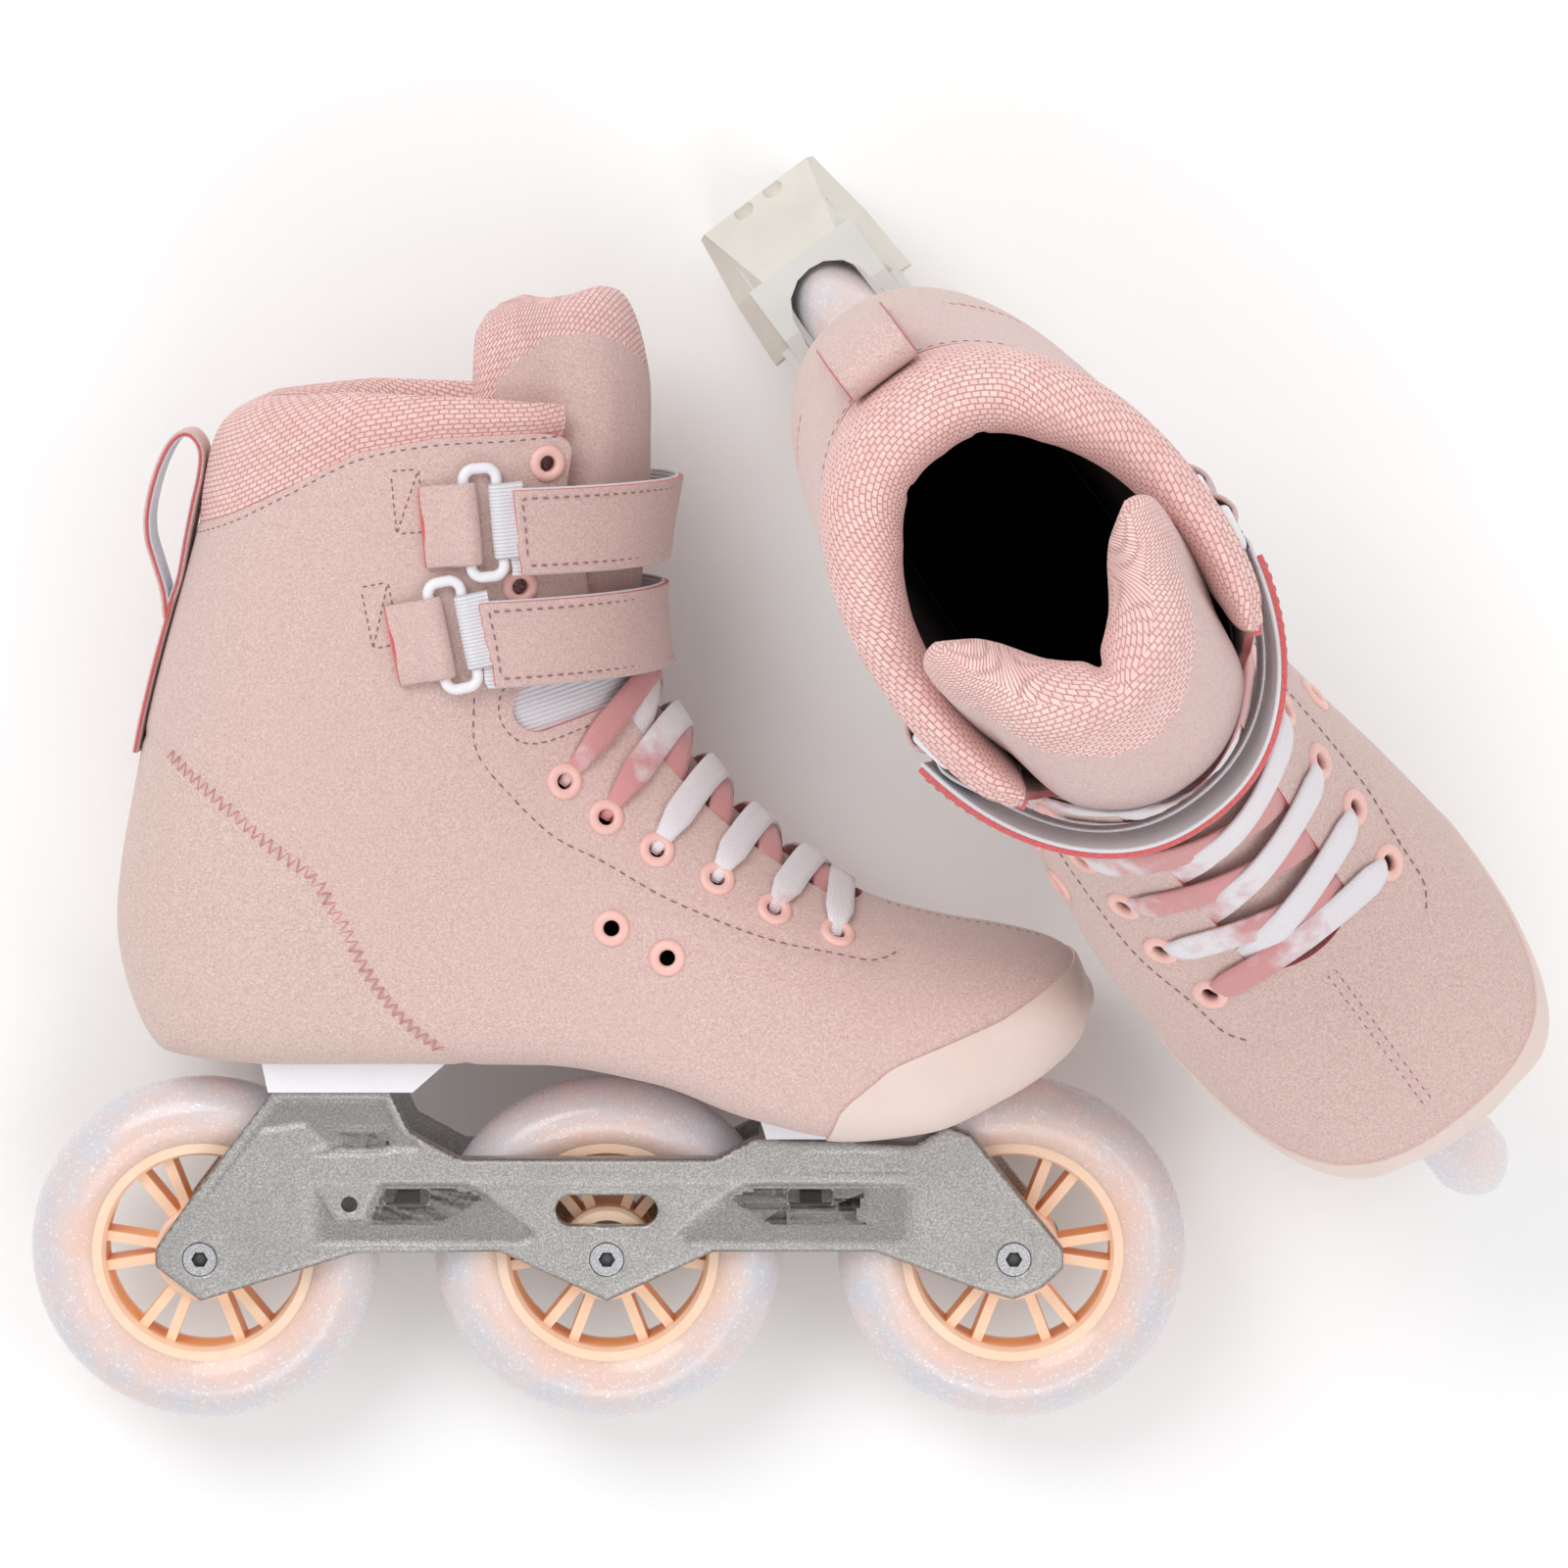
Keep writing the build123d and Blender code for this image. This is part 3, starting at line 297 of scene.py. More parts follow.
SUEDE_DARK, SUEDE_LIGHT = rgb(196, 160, 154), rgb(240, 215, 209)
HEEL_TONES = (rgb(196, 164, 155), rgb(238, 215, 206))
LOOKS = {
    "suede": suede_look("suede", SUEDE_DARK, SUEDE_LIGHT, HEEL_TONES),
    "panel": suede_look("suede_panel", rgb(198, 163, 158), rgb(240, 213, 208)),
    "cut_edge": suede_look("cut_edge", rgb(206, 84, 92), rgb(232, 128, 126)),
    "knit": knit_look("knit", rgb(240, 188, 182), rgb(250, 212, 206), rgb(213, 149, 146), 0.0026, 0.0017),
    "knit_pale": knit_look("knit_pale", rgb(240, 188, 184), rgb(251, 216, 211), rgb(214, 150, 148),
                           0.0027, 0.0018),
    "dark": suede_look("dark_lining", rgb(10, 8, 8), rgb(22, 18, 18)),
    "white_tape": webbing_look("white_tape", rgb(206, 206, 214), rgb(246, 246, 250)),
    "elastic": webbing_look("elastic", rgb(206, 208, 216), rgb(244, 245, 250), 0.0015),
    "hook": suede_look("hook_lining", rgb(214, 210, 222), rgb(240, 238, 246)),
    "lace": lace_look("lace", rgb(222, 158, 158), rgb(243, 243, 248)),
    "rubber": plastic_look("toe_rubber", rgb(236, 212, 203), rgb(231, 206, 197), 0.55, 0.1, scatter=0.1),
    "thread_dark": suede_look("thread_dark", rgb(128, 92, 96), rgb(172, 132, 132)),
    "thread_pale": suede_look("thread_pale", rgb(222, 190, 184), rgb(248, 226, 220)),
    "thread_red": suede_look("thread_red", rgb(196, 118, 122), rgb(228, 168, 166)),
    "eyelet": plastic_look("eyelet", rgb(244, 200, 190), rgb(238, 190, 182), 0.35),
    "white_plastic": plastic_look("white_plastic", rgb(242, 242, 246), rgb(234, 235, 240), 0.3, 0.08),
    "cast": cast_look("cast_frame", rgb(158, 155, 153), rgb(208, 206, 204)),
    "steel": cast_look("steel", rgb(176, 176, 180), rgb(222, 222, 226), 0.28),
    # The bearing seals' own dark rubber; the same look is also used as painted shade in the axle sockets.
    "seal_and_socket_shade": plastic_look("bearing_seal", rgb(70, 66, 66), rgb(92, 86, 86), 0.5),
    "brake_holder": plastic_look("brake_holder", rgb(214, 213, 210), rgb(204, 203, 199), 0.35, 0.1),
    "brake_pad": plastic_look("brake_pad", rgb(222, 218, 208), rgb(212, 208, 198), 0.7, 0.3, grain=400),
}


# ---------------------------------------------------------------- the boot's skin
# One row per section from the toe to the top of the cuff: front x z, back x z, inner and outer half width,
# place of the widest point, and the roundness of the front and back halves.
SECTIONS = [
    (150.6, 141, 150.6, 132, 21, 13, .50, 2.0, 2.0), (147.5, 148, 147.5, 125, 34, 25, .50, 2.0, 2.3),
    (140, 153.5, 139, 117, 43, 35, .50, 2.0, 2.8), (126, 157.5, 122, 107.5, 50, 44, .54, 2.0, 3.6),
    (106, 161, 100, 99, 54, 50, .58, 2.0, 4.4), (84, 167, 74, 96.5, 55, 53, .62, 1.9, 4.6),
    (62, 180, 45, 102, 52, 54, .66, 1.85, 4.6), (42, 197, 14, 112.5, 47, 51, .66, 1.85, 4.6),
    (25, 219, -22, 117.5, 43, 47, .64, 1.9, 4.6), (14, 240, -62, 117.5, 43, 44, .60, 2.0, 4.6),
    (12.5, 258, -104, 117, 45, 44, .52, 2.1, 4.2), (13.5, 275, -138, 120, 47, 45, .48, 2.15, 3.0),
    (15, 289, -153.5, 160, 48, 46, .48, 2.2, 2.3), (16, 301, -145, 215, 48.5, 47.5, .50, 2.2, 2.1),
    (16.5, 322, -119, 316, 48.5, 48.5, .50, 2.2, 2.2), (15, 366, -114, 366, 48.5, 48.5, .50, 2.2, 2.2),
]
ROWS = np.array(SECTIONS, float)
STEPS = 0.5 * (np.hypot(*np.diff(ROWS[:, 0:2], axis=0).T) + np.hypot(*np.diff(ROWS[:, 2:4], axis=0).T))
AT = np.concatenate([[0.0], np.cumsum(STEPS)])
END = AT[-1]


def gentle_slopes(at, rows):
    """Slopes for a curve through rows that never overshoots them."""
    gaps = np.diff(at)[:, None]
    steep = np.diff(rows, axis=0) / gaps
    slopes = np.zeros_like(rows)
    before, after = 2 * gaps[1:] + gaps[:-1], gaps[1:] + 2 * gaps[:-1]
    same = steep[:-1] * steep[1:] > 0
    low, high = np.where(same, steep[:-1], 1), np.where(same, steep[1:], 1)
    slopes[1:-1] = np.where(same, (before + after) / (before / low + after / high), 0)
    slopes[0], slopes[-1] = steep[0], steep[-1]
    return slopes


SLOPES = gentle_slopes(AT, ROWS)


def section(s):
    """The section values at distance s from the toe."""
    i = np.clip(np.searchsorted(AT, s, side="right") - 1, 0, len(AT) - 2)
    gap = (AT[i + 1] - AT[i])[..., None]
    t = (s - AT[i])[..., None] / gap
    return (ROWS[i] * (1 + 2 * t) * (1 - t) ** 2 + SLOPES[i] * gap * t * (1 - t) ** 2
            + ROWS[i + 1] * t * t * (3 - 2 * t) + SLOPES[i + 1] * gap * t * t * (t - 1))


def skin(s, a, side=0.0, front=None, sole=None):
    """Points on the boot at distance s and angle a (0 front, pi back), moved inwards by the other three."""
    front = side if front is None else front
    sole = side if sole is None else sole
    s, a, side, front = np.broadcast_arrays(*[np.asarray(v, float) for v in (s, a, side, front)])
    fx, fz, bx, bz, inner, outer, widest, fp, bp = np.moveaxis(section(s), -1, 0)
    length = np.hypot(bx - fx, bz - fz)
    back = np.where(s <= AT[11], sole, side)
    along, across = np.cos(a), np.sin(a)
    near = along >= 0
    place = np.where(near, widest * (1 - np.abs(along) ** (2 / fp)),
                     widest + (1 - widest) * np.abs(along) ** (2 / bp))
    half = np.where(across > 0, outer, inner) - side
    y = np.sign(across) * half * np.abs(across) ** (2 / np.where(near, fp, bp))
    reach = front + (length - front - back) * place
    return np.stack([fx + (bx - fx) / length * reach, y, fz + (bz - fz) / length * reach], -1)


def level(a, target, side=0.0, front=None, low=AT[6]):
    """Distance s at which the skin at angle a reaches the height target(x)."""
    a = np.asarray(a, float)
    low, high = np.full(a.shape, low), np.full(a.shape, END)
    for _ in range(30):
        mid = (low + high) / 2
        p = skin(mid, a, side, front)
        over = p[..., 2] > target(p[..., 0])
        low, high = np.where(over, low, mid), np.where(over, mid, high)
    return (low + high) / 2


def line(points):
    """Height of a polyline in the XZ plane as a function of x."""
    xs, zs = zip(*points)
    return lambda x: np.interp(x, xs, zs)


COLLAR_LINE = [(-175, 268), (-128, 284), (-112, 290), (-94, 299), (-73, 309.5), (-50, 314), (60, 319)]
COLLAR_TOP = [(-175, 306), (-118, 316), (-104, 322), (-75, 324.5), (-40, 323), (-14, 321), (60, 313)]
EYELETS = [(-11.5, 208.5), (1.0, 197.2), (16.5, 187.0), (35.0, 178.0), (52.5, 168.5), (72.0, 161.0)]
CUFF_EYELETS = [(-16.0, 306.0), (-24.5, 268.8)]
VENT_EYELETS = [(2.7, 163.8), (19.8, 155.0)]
HEEL_SEAM = [(-150, 222), (-134, 216), (-125, 209), (-110, 197), (-99, 188), (-89, 181), (-83, 172),
             (-77.5, 162), (-73, 152), (-66, 141), (-59, 133), (-48, 123), (-38, 114)]
EYESTAY_SEAM = [(-38.5, 236), (-38, 219), (-28, 205), (-15, 192), (0, 184), (17, 174), (34, 166.5), (52, 160),
                (70, 156), (83, 153.5), (92, 156)]
TOE_EDGE = [(68, 85), (68.5, 97), (72.5, 108), (79, 116), (86, 121.5), (100, 127.5), (122, 136.5), (140, 147),
            (160, 156), (160, 80)]


# ---------------------------------------------------------------- mesh helpers
class Shape:
    """Points, faces, a weave coordinate and a shade for each point, and a material number for each face."""

    def __init__(self, verts, faces, weave=None, shade=None, marks=None):
        self.verts = np.asarray(verts, float).reshape(-1, 3)
        self.faces = faces
        count = len(self.verts)
        self.weave = np.zeros((count, 2)) if weave is None else np.asarray(weave, float).reshape(-1, 2)
        self.shade = np.zeros(count) if shade is None else np.asarray(shade, float).reshape(-1)
        self.marks = [0] * len(faces) if marks is None else marks


def merged(shapes):
    """Several shapes as one."""
    verts, faces, weave, shade, marks, start = [], [], [], [], [], 0
    for shape in shapes:
        verts.append(shape.verts)
        weave.append(shape.weave)
        shade.append(shape.shade)
        faces += [tuple(i + start for i in face) for face in shape.faces]
        marks += list(shape.marks)
        start += len(shape.verts)
    return Shape(np.concatenate(verts), faces, np.concatenate(weave), np.concatenate(shade), marks)


def grid(points, round_rows=False, round_columns=False, weave=None, shade=None, flip=False):
    """Quads over a rows x columns array of points."""
    rows, columns = points.shape[:2]
    faces = []
    for r in range(rows if round_rows else rows - 1):
        for c in range(columns if round_columns else columns - 1):
            r2, c2 = (r + 1) % rows, (c + 1) % columns
            face = (r * columns + c, r * columns + c2, r2 * columns + c2, r2 * columns + c)
            faces.append(face[::-1] if flip else face)
    return Shape(points, faces, weave, shade)


def carve(shape, field):
    """Cuts away the part of a shape where field(points) is above zero, along a clean line."""
    value = np.asarray(field(shape.verts), float)
    bm = bmesh.new()
    weave = bm.verts.layers.float_vector.new("weave")
    made = []
    for co, (u, v), shade in zip(shape.verts, shape.weave, shape.shade):
        vert = bm.verts.new(co)
        vert[weave] = (u, v, shade)
        made.append(vert)
    bm.verts.index_update()
    for face, mark in zip(shape.faces, shape.marks):
        bm.faces.new([made[i] for i in face]).material_index = mark
    for edge in bm.edges:
        a, b = edge.verts
        va, vb = value[a.index], value[b.index]
        if va * vb < 0:
            part = va / (va - vb)
            if part < 0.2:
                a.co = a.co.lerp(b.co, part)
                value[a.index] = 0.0
            elif part > 0.8:
                b.co = a.co.lerp(b.co, part)
                value[b.index] = 0.0
    crossing = []
    for edge in bm.edges:
        a, b = edge.verts
        va, vb = value[a.index], value[b.index]
        if va * vb < 0:
            crossing.append((edge, a, va / (va - vb)))
    gone = [vert for vert in made if value[vert.index] > 0]
    rim = [vert for vert in made if value[vert.index] == 0]
    for edge, vert, part in crossing:
        rim.append(bmesh.utils.edge_split(edge, vert, part)[1])
    bmesh.ops.connect_verts(bm, verts=rim)
    bmesh.ops.delete(bm, geom=gone, context="VERTS")
    bm.verts.index_update()
    out = Shape([tuple(v.co) for v in bm.verts], [tuple(v.index for v in f.verts) for f in bm.faces],
                [v[weave][:2] for v in bm.verts], [v[weave][2] for v in bm.verts],
                [f.material_index for f in bm.faces])
    bm.free()
    return out


def put(name, shape, looks, body="skate", replaces=(), sides=("left", "right")):
    """Makes the piece on both skates, the right one mirrored."""
    made = []
    for side in sides:
        mesh = bpy.data.meshes.new(f"{side}_{name}")
        world = np.c_[shape.verts, np.ones(len(shape.verts))] @ np.array(PLACES[side]).T
        faces = shape.faces if side == "left" else [face[::-1] for face in shape.faces]
        mesh.from_pydata(world[:, :3].tolist(), [], faces)
        mesh.attributes.new("weave", "FLOAT2", "POINT").data.foreach_set("vector", (shape.weave * MM).ravel())
        mesh.attributes.new("shade", "FLOAT", "POINT").data.foreach_set("value", shape.shade.copy())
        for look in looks:
            mesh.materials.append(LOOKS[look])
        mesh.polygons.foreach_set("material_index", list(shape.marks))
        mesh.polygons.foreach_set("use_smooth", [True] * len(mesh.polygons))
        mesh.update()
        piece = bpy.data.objects.new(f"{side}_{name}", mesh)
        bpy.context.scene.collection.objects.link(piece)
        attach(piece, f"{side}_{body}")
        if replaces:
            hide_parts(*[f"{side}_{node}" for node in replaces])
        made.append(piece)
    return made


def thicken(pieces, thickness, rim=0, bevel=0.35, offset=-1.0):
    """Gives sheets their thickness and softly rounded cut edges."""
    for piece in pieces:
        solid = piece.modifiers.new("thickness", "SOLIDIFY")
        solid.thickness = thickness * MM
        solid.offset = offset
        solid.use_even_offset = False
        solid.material_offset_rim = rim
        soften(piece, bevel)


def soften(piece, width, angle=40):
    """Rounds the edges that are sharper than an angle."""
    edge = piece.modifiers.new("rounding", "BEVEL")
    edge.width = width * MM
    edge.segments = 2
    edge.limit_method = "ANGLE"
    edge.angle_limit = math.radians(angle)
    edge.harden_normals = False


def catmull(points, count):
    """A smooth curve through points, resampled at even steps."""
    p = np.asarray(points, float)
    p = np.vstack([2 * p[0] - p[1], p, 2 * p[-1] - p[-2]])
    fine = []
    for i in range(1, len(p) - 2):
        t = np.linspace(0, 1, 24, endpoint=False)[:, None]
        before, here, after, later = p[i - 1:i + 3]
        fine.append(0.5 * (2 * here + (after - before) * t
                           + (2 * before - 5 * here + 4 * after - later) * t**2
                           + (3 * here - before - 3 * after + later) * t**3))
    fine = np.vstack([*fine, p[-2:-1]])
    return even(fine, count)


def even(points, count):
    """Points at even steps along a path."""
    gaps = np.linalg.norm(np.diff(points, axis=0), axis=1)
    at = np.concatenate([[0], np.cumsum(gaps)])
    want = np.linspace(0, at[-1], count)
    return np.stack([np.interp(want, at, points[:, k]) for k in range(points.shape[1])], 1)


def travelled(points):
    """Distance travelled at each point of a path."""
    return np.concatenate([[0], np.cumsum(np.linalg.norm(np.diff(points, axis=0), axis=1))])


def ease(t):
    """Smooth step from 0 to 1."""
    t = np.clip(t, 0, 1)
    return t * t * (3 - 2 * t)


def unit(v):
    """Vectors scaled to length one."""
    return v / np.maximum(np.linalg.norm(v, axis=-1, keepdims=True), 1e-9)


def skin_tree():
    """A coarse copy of the skin that points are dropped on."""
    s = np.linspace(0, END, 180)
    a = np.linspace(-math.pi, math.pi, 160, endpoint=False)
    cast = grid(skin(s[:, None], a[None, :]), round_columns=True)
    return BVHTree.FromPolygons([Vector(p) for p in cast.verts], cast.faces)


SKIN_TREE = skin_tree()


def on_side(x, z, side):
    """Point and outward direction of the boot's side at x and z."""
    hit, normal, _, _ = SKIN_TREE.ray_cast(Vector((x, side * 200, z)), Vector((0, -side, 0)))
    if hit is None:
        hit, normal, _, _ = SKIN_TREE.find_nearest(Vector((x, side * 60, z)))
    normal = Vector(normal)
    if normal.y * side < 0:
        normal = -normal
    return np.array(hit), np.array(normal)


def on_skin(point):
    """Nearest point of the boot's skin and its outward direction."""
    hit, normal, _, _ = SKIN_TREE.find_nearest(Vector(point))
    away = np.array(normal)
    core = np.array([np.clip(hit.x, -60, 70), 0, 150 if hit.x > 20 else max(150, min(hit.z, 300))])
    if np.dot(away, np.array(hit) - core) < 0:
        away = -away
    return np.array(hit), away


PATH_STEP = 0.8


def side_path(points, side):
    """Points and normals along an XZ polyline laid on one side of the boot."""
    rough = catmull(points, 200)
    length = travelled(rough)[-1]
    flat = even(rough, max(2, int(length / PATH_STEP)))
    found = [on_side(x, z, side) for x, z in flat]
    normals = unit(np.array([n for _, n in found]))
    return np.array([p for p, _ in found]), normals


def stitches(points, normals, length=2.3, gap=1.1, radius=0.3, sink=0.05):
    """Short rounded thread ends along a path."""
    at = travelled(points)
    count = int(at[-1] / (length + gap))
    ring = [(math.cos(k * math.pi / 3), math.sin(k * math.pi / 3)) for k in range(6)]
    profile = [(-0.5, 0.25), (-0.36, 0.85), (0.0, 1.0), (0.36, 0.85), (0.5, 0.25)]
    verts, faces = [], []
    for i in range(count):
        ends = []
        for d in (i * (length + gap) + gap / 2, i * (length + gap) + gap / 2 + length):
            ends.append(np.array([np.interp(d, at, points[:, k]) for k in range(3)]))
        k = int(np.searchsorted(at, i * (length + gap) + gap))
        up = normals[min(k, len(normals) - 1)]
        ahead = unit(ends[1] - ends[0])
        across = unit(np.cross(up, ahead))
        start = len(verts)
        for f, w in profile:
            rise = sink + radius * 0.5 * w - radius * 0.3
            centre = (ends[0] + ends[1]) / 2 + (ends[1] - ends[0]) * f + up * rise
            verts += [centre + (across * x * 1.1 + up * y * 0.8) * radius * w for x, y in ring]
        for r in range(4):
            for c in range(6):
                one, two = start + r * 6 + c, start + r * 6 + (c + 1) % 6
                faces.append((one, two, two + 6, one + 6))
        faces.append(tuple(start + c for c in range(5, -1, -1)))
        faces.append(tuple(start + 24 + c for c in range(6)))
    return Shape(verts, faces)


def ribbon(path, across, up, width, thickness, offset=0.0, shade=None):
    """A flat band: path points, a direction across it and one out of it at each point."""
    path, across, up = np.asarray(path), unit(np.asarray(across)), unit(np.asarray(up))
    width = np.broadcast_to(np.asarray(width, float), (len(path),))
    thickness = np.broadcast_to(np.asarray(thickness, float), (len(path),))
    loop = [(-0.5, 0.0), (-0.47, 0.38), (-0.25, 0.5), (0.0, 0.52), (0.25, 0.5), (0.47, 0.38), (0.5, 0.0),
            (0.47, -0.38), (0.25, -0.5), (0.0, -0.5), (-0.25, -0.5), (-0.47, -0.38)]
    rows, weave = [], []
    run = travelled(path)
    for i in range(len(path)):
        rows.append([path[i] + across[i] * x * width[i] + up[i] * (y * thickness[i] + offset)
                     for x, y in loop])
        weave.append([(run[i], x * width[i]) for x, _ in loop])
    shades = None if shade is None else np.repeat(shade, len(loop))
    shape = grid(np.array(rows), round_columns=True, weave=np.array(weave), shade=shades)
    n = len(loop)
    last = (len(path) - 1) * n
    shape.faces += [tuple(range(n - 1, -1, -1)), tuple(last + k for k in range(n))]
    shape.marks += [0, 0]
    return shape


# ---------------------------------------------------------------- upper
def smooth_max(a, b, blend):
    """The larger of two fields, with a rounded inner corner where they meet."""
    h = np.clip(0.5 + 0.5 * (a - b) / blend, 0, 1)
    return b * (1 - h) + a * h + blend * h * (1 - h)


# Each field is above zero where the upper is cut away, roughly in millimetres from the cut.
def collar_field(p):
    """Above the line of the cuff."""
    return (p[:, 2] - line(COLLAR_LINE)(p[:, 0])) * 0.93


def throat_field(p, extra=0.0):
    """Between the two rows of eyelets, over the foot."""
    x, y, z = p.T
    gap = np.interp(z, [150, 168, 205, 226, 243, 280, 300], [15, 18, 20, 22, 29, 35, 39]) + extra
    ahead = np.clip((x - 69) / (11 + extra), 0, None)
    opening = (1 - np.sqrt(ahead**2 + (y / gap) ** 2)) * gap
    floor = z - np.interp(x, [-70, -45, 5, 40, 88], [250, 232, 190, 150, 145])
    return np.minimum(np.minimum(opening, floor), x + 45)


def notch_field(p):
    """The slot that opens from the throat on each side of the ankle."""
    a, b = np.array([-19.5, 231.6]), np.array([22.0, 245.0])
    q = p[:, [0, 2]]
    t = np.clip(((q - a) @ (b - a)) / ((b - a) @ (b - a)), 0, 1)[:, None]
    away = np.linalg.norm(q - a - t * (b - a), axis=1)
    return np.where(p[:, 0] > -60, 7.6 - away, -10)


def seam_dent(p, seam, width, depth):
    """How far points near a seam are drawn in."""
    fine = catmull(seam, 160)
    gap = np.full(len(p), 1e3)
    for q in fine:
        gap = np.minimum(gap, np.hypot(p[:, 0] - q[0], p[:, 2] - q[1]))
    return depth * np.exp(-(gap / width) ** 2)


WHEEL_ROOM_R, WHEEL_ROOM_HALF, WHEEL_ROOM_EASE = 57.4, 14.8, 3.0


def wheel_room(p):
    """Moves sole points out of the channel over the front wheel."""
    away = np.hypot(p[:, 0] - AXLES["front"], p[:, 2] - AXLE_Z)
    reach = WHEEL_ROOM_HALF + WHEEL_ROOM_EASE
    inside = (away < WHEEL_ROOM_R) & (np.abs(p[:, 1]) < reach) & (p[:, 2] < 130)
    share = np.clip((reach - np.abs(p[:, 1])) / WHEEL_ROOM_EASE, 0, 1)
    grow = np.where(inside, 1 + (WHEEL_ROOM_R / np.maximum(away, 1) - 1) * share, 1)
    p[:, 0] = AXLES["front"] + (p[:, 0] - AXLES["front"]) * grow
    p[:, 2] = AXLE_Z + (p[:, 2] - AXLE_Z) * grow


def boot_shape(rows, columns, side=0.0):
    """The whole skin as a tube with a closed, slightly bulged toe."""
    s = np.linspace(0, 1, rows) ** 1.15 * (AT[15] - 8)
    a = np.linspace(-math.pi, math.pi, columns, endpoint=False)
    points = skin(s[:, None], a[None, :], side)
    centre = points[0].mean(0)
    caps = [centre + (points[0] - centre) * f + np.array([g, 0, 0])
            for f, g in ((0.03, 2.2), (0.3, 2.05), (0.55, 1.7), (0.75, 1.15), (0.9, 0.5))]
    points = np.concatenate([np.array(caps), points])
    run = np.concatenate([np.zeros(len(caps)), s])
    weave = np.stack(np.broadcast_arrays(run[:, None], a[None, :] * 50), -1)
    shape = grid(points, round_columns=True, weave=weave, flip=True)
    shape.faces.append(tuple(range(columns)))
    shape.marks.append(0)
    return shape


def eyelet_spots():
    """Point and outward direction of every eyelet."""
    spots = []
    for side in (MEDIAL, LATERAL):
        for x, z in EYELETS + CUFF_EYELETS + VENT_EYELETS:
            spots.append(on_side(x, z, side))
    return spots


SPOTS = eyelet_spots()


def make_upper():
    """Suede shell with its openings, drawn in along the seams."""
    shape = boot_shape(270, 190)
    p = shape.verts
    heel = (p[:, 2] - line(HEEL_SEAM)(p[:, 0])) * 0.75
    shape.shade = np.clip(0.5 - heel / 2, 0, 1) * (p[:, 0] < -36)
    dent = seam_dent(p, HEEL_SEAM, 1.6, 0.7) + seam_dent(p, EYESTAY_SEAM, 1.5, 0.55)
    toe_line = 0.5 * np.exp(-(p[:, 1] / 1.6) ** 2) * (p[:, 0] > 86) * (p[:, 2] > 140)
    normals = skin_normals(p)
    p -= normals * (dent + toe_line)[:, None]
    wheel_room(p)

    def field(q):
        cuff = smooth_max(collar_field(q), throat_field(q), 7.0)
        cut = np.maximum(smooth_max(cuff, notch_field(q), 3.0), -50)
        for spot, _ in SPOTS:
            cut = np.maximum(cut, 3.3 - np.linalg.norm(q - spot, axis=1))
        return cut

    shape = carve(shape, field)
    bm_orient(shape)
    pieces = put("upper", shape, ["suede", "cut_edge"], replaces=["boot_upper"])
    thicken(pieces, 2.4, rim=1)


def skin_normals(p):
    """Outward directions at points on or near the skin."""
    out = np.zeros_like(p)
    for i, q in enumerate(p):
        _, normal, _, _ = SKIN_TREE.find_nearest(Vector(q))
        out[i] = normal
    return out * NORMAL_SIGN


_probe = SKIN_TREE.ray_cast(Vector((0, 200, 200)), Vector((0, -1, 0)))
NORMAL_SIGN = 1.0 if _probe[1].y > 0 else -1.0


FOOTBED = [(-160, 133), (-60, 132), (-22, 131.5), (14, 127.5), (45, 117), (74, 113), (100, 115.5),
           (122, 123.5)]


def make_lining():
    """Dark inside of the boot and the foot bed."""
    s = np.linspace(AT[2], AT[14] - 6, 90)
    a = np.linspace(-math.pi, math.pi, 72, endpoint=False)
    points = skin(s[:, None], a[None, :], 7.0, sole=9.0)
    shape = grid(points, round_columns=True)
    shape.faces.append(tuple(range(71, -1, -1)))
    shape.marks.append(0)

    def field(q):
        low = q[:, 2] - (line(COLLAR_LINE)(q[:, 0]) - 10)
        return np.maximum(low, np.minimum(throat_field(q, 8.0), 60.0))

    shape = carve(shape, field)
    put("lining", shape, ["dark"])
    rows = []
    for x in np.linspace(-128, 112, 60):
        z = line(FOOTBED)(x)
        ends = []
        for side in (-1, 1):
            hit, _ = on_side(x, z, side)
            ends.append(hit[1] - side * 13)
        rows.append([(x, ends[0] + (ends[1] - ends[0]) * t, z + 3.5 * (2 * t - 1) ** 4)
                     for t in np.linspace(0, 1, 17)])
    pieces = put("footbed", grid(np.array(rows)), ["dark"], replaces=["insole"])
    thicken(pieces, 3.0, offset=1.0)


# ---------------------------------------------------------------- collar
COLLAR_RINGS, COLLAR_POINTS = 150, 64
# Round the roll: how far inwards, share of the way from the suede's edge to the rim, extra height.
COLLAR_PROFILE = [
    (3.4, 0, -6.0), (1.4, 0, -2.5), (0.2, 0, 0.4), (-1.5, 0.25, 1.5), (-2.0, 0.55, 0), (-1.6, 0.85, -1.2),
    (0.8, 1, 0.6), (4.6, 1, 3.0), (9.5, 1, 2.2), (14.0, 1, -3.0), (16.6, 1, -11.0), (17.0, 1, -21.0),
    (16.0, 1, -33.0), (14.0, 1, -46.0), (11.0, 1, -60.0), (8.4, 1, -68.0),
]


